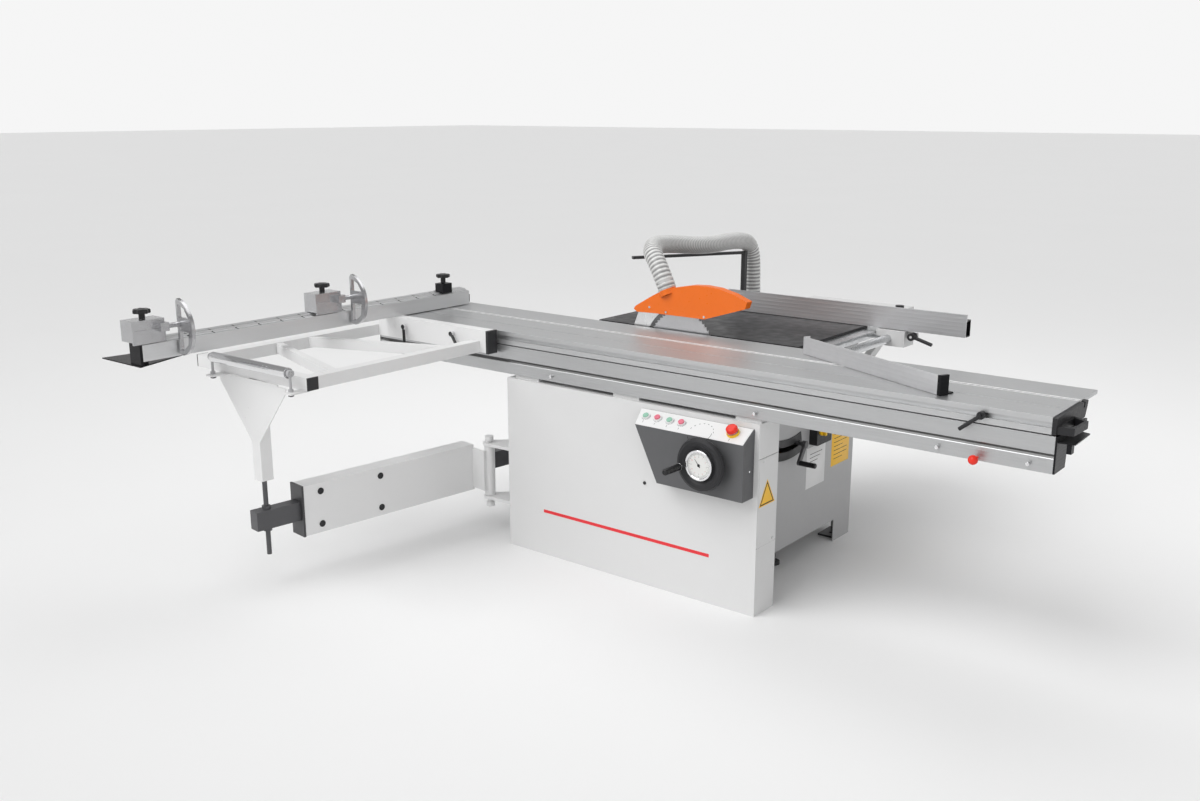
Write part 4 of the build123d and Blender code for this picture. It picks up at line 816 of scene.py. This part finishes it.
def panel():
    """The collars, captions and tilt scale round the buttons."""
    for name, x in BUTTONS:
        turned("collar_" + name, BUTTON_COLLAR, on_slope(x, 44), SLOPE_OUT, chrome, "machine_base", 40)
        plate("caption_line_" + name, (9, 1.2, 0.15), 0.4, on_slope(x, 19), SLOPE_OUT, ink, "machine_base",
              math.pi / 2, 0.03)
    turned("emergency_collar", EMERGENCY_COLLAR, on_slope(-84, 45), SLOPE_OUT, yellow_plastic,
           "machine_base", 44)
    across, up = SCALE_CENTRE
    for start, sweep in ((15, 75), (105, 60)):
        strip_arc(f"tilt_scale_arc_{start}", SCALE_RADIUS, 1.6, math.radians(start), math.radians(sweep), 0.3,
                  on_slope(across, up), SLOPE_OUT, ink, "machine_base", -math.pi / 2)
    for i in range(8):
        turn = math.radians(20 * (i + 1))
        place = on_slope(across + TICK_RADIUS * math.cos(turn), up + TICK_RADIUS * math.sin(turn))
        plate(f"tilt_scale_tick_{i}", (6, 1.6, 0.3), 0.3, place, SLOPE_OUT, ink, "machine_base",
              turn - math.pi / 2, 0.03)
    plate("emergency_caption", (14, 1.2, 0.15), 0.4, on_slope(-84, 14), SLOPE_OUT, ink, "machine_base",
          math.pi / 2, 0.03)


panel()


# ----------------------------------------------------------------------------- screws, bolts and plugs
def cap_screw(name, place, axis, body, radius, high, material):
    """A socket-head screw: turned head with its socket sunk in."""
    steps = [(radius, 0), (radius, high * 0.8), (radius * 0.86, high), (radius * 0.48, high),
             (radius * 0.44, high * 0.35)]
    return turned(name, steps, place, axis, material, body, 18)


def screws():
    """The screws of the front cabinet, control box, beam and guard."""
    cap_screw("front_screw", at(-478, 0, 398), FRONT, "machine_base", 6.5, 3.0, black_paint)
    cap_screw("panel_side_screw", at(0.2, -60, 548), SIDE, "machine_base", 3.4, 1.2, chrome)
    for i, x in enumerate((-931, -26, 618, 894)):
        cap_screw(f"beam_face_screw_{i}", at(x, 0, 733), FRONT, "machine_base", 6.0, 2.4, chrome)
    for i, (x, z, metal) in enumerate(((-520, 950, label_white), (-700, 950, steel), (-780, 962, steel))):
        cap_screw(f"guard_screw_{i}", at(x, 434, z), FRONT, "saw_unit", 4.5, 2.0, metal)


ARM_FACE = -71.0                            # the arm's near face, from the hinge's plane
PLUG = [(13, 0), (13, 1.4), (11.5, 2.8), (9, 3.2), (8.4, 2.6)]


def arm_place(u, v, z):
    """A place along the swing arm: u outwards from its hinge, v towards its near face."""
    return at(*ARM_HINGE, z) + (ARM_ALONG * u + ARM_NEAR * v) * MM


def swing_arm_plugs():
    """The four black plugs in the arm's near face."""
    for i, (u, z) in enumerate(((763, 331), (763, 201), (494, 331), (494, 201))):
        turned(f"arm_plug_{i}", PLUG, arm_place(u, ARM_FACE, z), ARM_NEAR, black_plastic, "arm", 32)


def triangle(radius):
    """Starts a three-cornered plate, open for editing."""
    clear()
    bpy.ops.mesh.primitive_circle_add(vertices=3, radius=radius * MM, fill_type="NGON")
    edit()


def thicken(thick):
    """Gives the open flat shape its thickness in millimetres."""
    bpy.ops.mesh.select_all(action="SELECT")
    bpy.ops.mesh.extrude_region_move(TRANSFORM_OT_translate={"value": (0, 0, thick * MM)})
    leave()


def labels():
    """The yellow marker, and two labels with plain lines in place of their text."""
    triangle(62)
    bpy.ops.mesh.bevel(offset=2.5 * MM, segments=4, affect="VERTICES")
    thicken(0.3)
    settle("yellow_marker", at(1.5, 60, 432), SIDE, label_yellow, "machine_base")
    triangle(54)
    bpy.ops.mesh.inset(thickness=4 * MM, depth=0)
    bpy.ops.mesh.delete(type="FACE")
    thicken(0.45)
    settle("yellow_marker_border", at(1.6, 60, 432), SIDE, ink, "machine_base")
    plate("orange_label", (153, 150, 0.3), 2.0, at(-134.9, 872, 406), SIDE, label_yellow, "machine_base")
    plate("white_label", (151, 166, 0.3), 2.0, at(-134.9, 667, 370), SIDE, label_white, "machine_base")
    for i in range(7):
        plate(f"orange_label_line_{i}", (112 if i % 3 else 74, 2.2, 0.2), 0.4,
              at(-134.6, 872 if i % 3 else 853, 462 - 17 * i), SIDE, ink, "machine_base", edge=0.03)
    for i in range(3):
        plate(f"white_label_line_{i}", (100 - 18 * i, 2.2, 0.2), 0.4,
              at(-134.6, 667 - 9 * i, 424 - 15 * i), SIDE, ink, "machine_base", edge=0.03)


def slot_edges():
    """Bright machined edges along the carriage's slot."""
    for name, y, width in (("rear", 273.4, 4.0), ("front", 256.8, 2.0)):
        plate("slot_edge_" + name, (2796, width, 0.25), 0.5, at(-450, y, 880), UP, slot_bright,
              "table_carriage", edge=0.05)


slot_bright = bright_metal("slot_edge_metal", (0.95, 0.95, 0.95), 0.35, (0.1, 1, 1), vary=0.03)
slot_bright.node_tree.nodes["Principled BSDF"].inputs["Metallic"].default_value = 0.3
slot_edges()
screws()
swing_arm_plugs()
labels()


# ------------------------------------------------------------------------------------------ star knobs
KNOB_LOBES = 7
HEAD_HEIGHT = 15.5


def star_knobs():
    """The fence clamp knob and the stops' knobs: a stem and a lobed head each."""
    for name, body, node, place in (("fence", "long_fence_knob", "fence_knob", (-1776, 265)),
                                    ("stop_a", "knob_a", "stop_knob_a", (-1776, -1171)),
                                    ("stop_b", "knob_b", "stop_knob_b", (-1776, -395))):
        low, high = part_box(node)
        foot = Vector(((low.x + high.x) / 2, (low.y + high.y) / 2, low.z))
        tall = (high.z - low.z) / MM
        head = tall - HEAD_HEIGHT
        turned(name + "_knob_stem", [(10.8, 0.2), (10.8, head - 2), (14, head + 1), (14, head + 3)], foot, UP,
               grip_plastic, body, 28)
        steps = [(28, head), (30.8, head + 2.5), (30.8, tall - 4.5), (29, tall - 1.2), (24, tall), (13, tall),
                 (12, tall - 1.5)]
        top = lobed(name + "_knob_head", steps, KNOB_LOBES, 0.84, foot, UP, grip_plastic, body)
        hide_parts(node)


star_knobs()
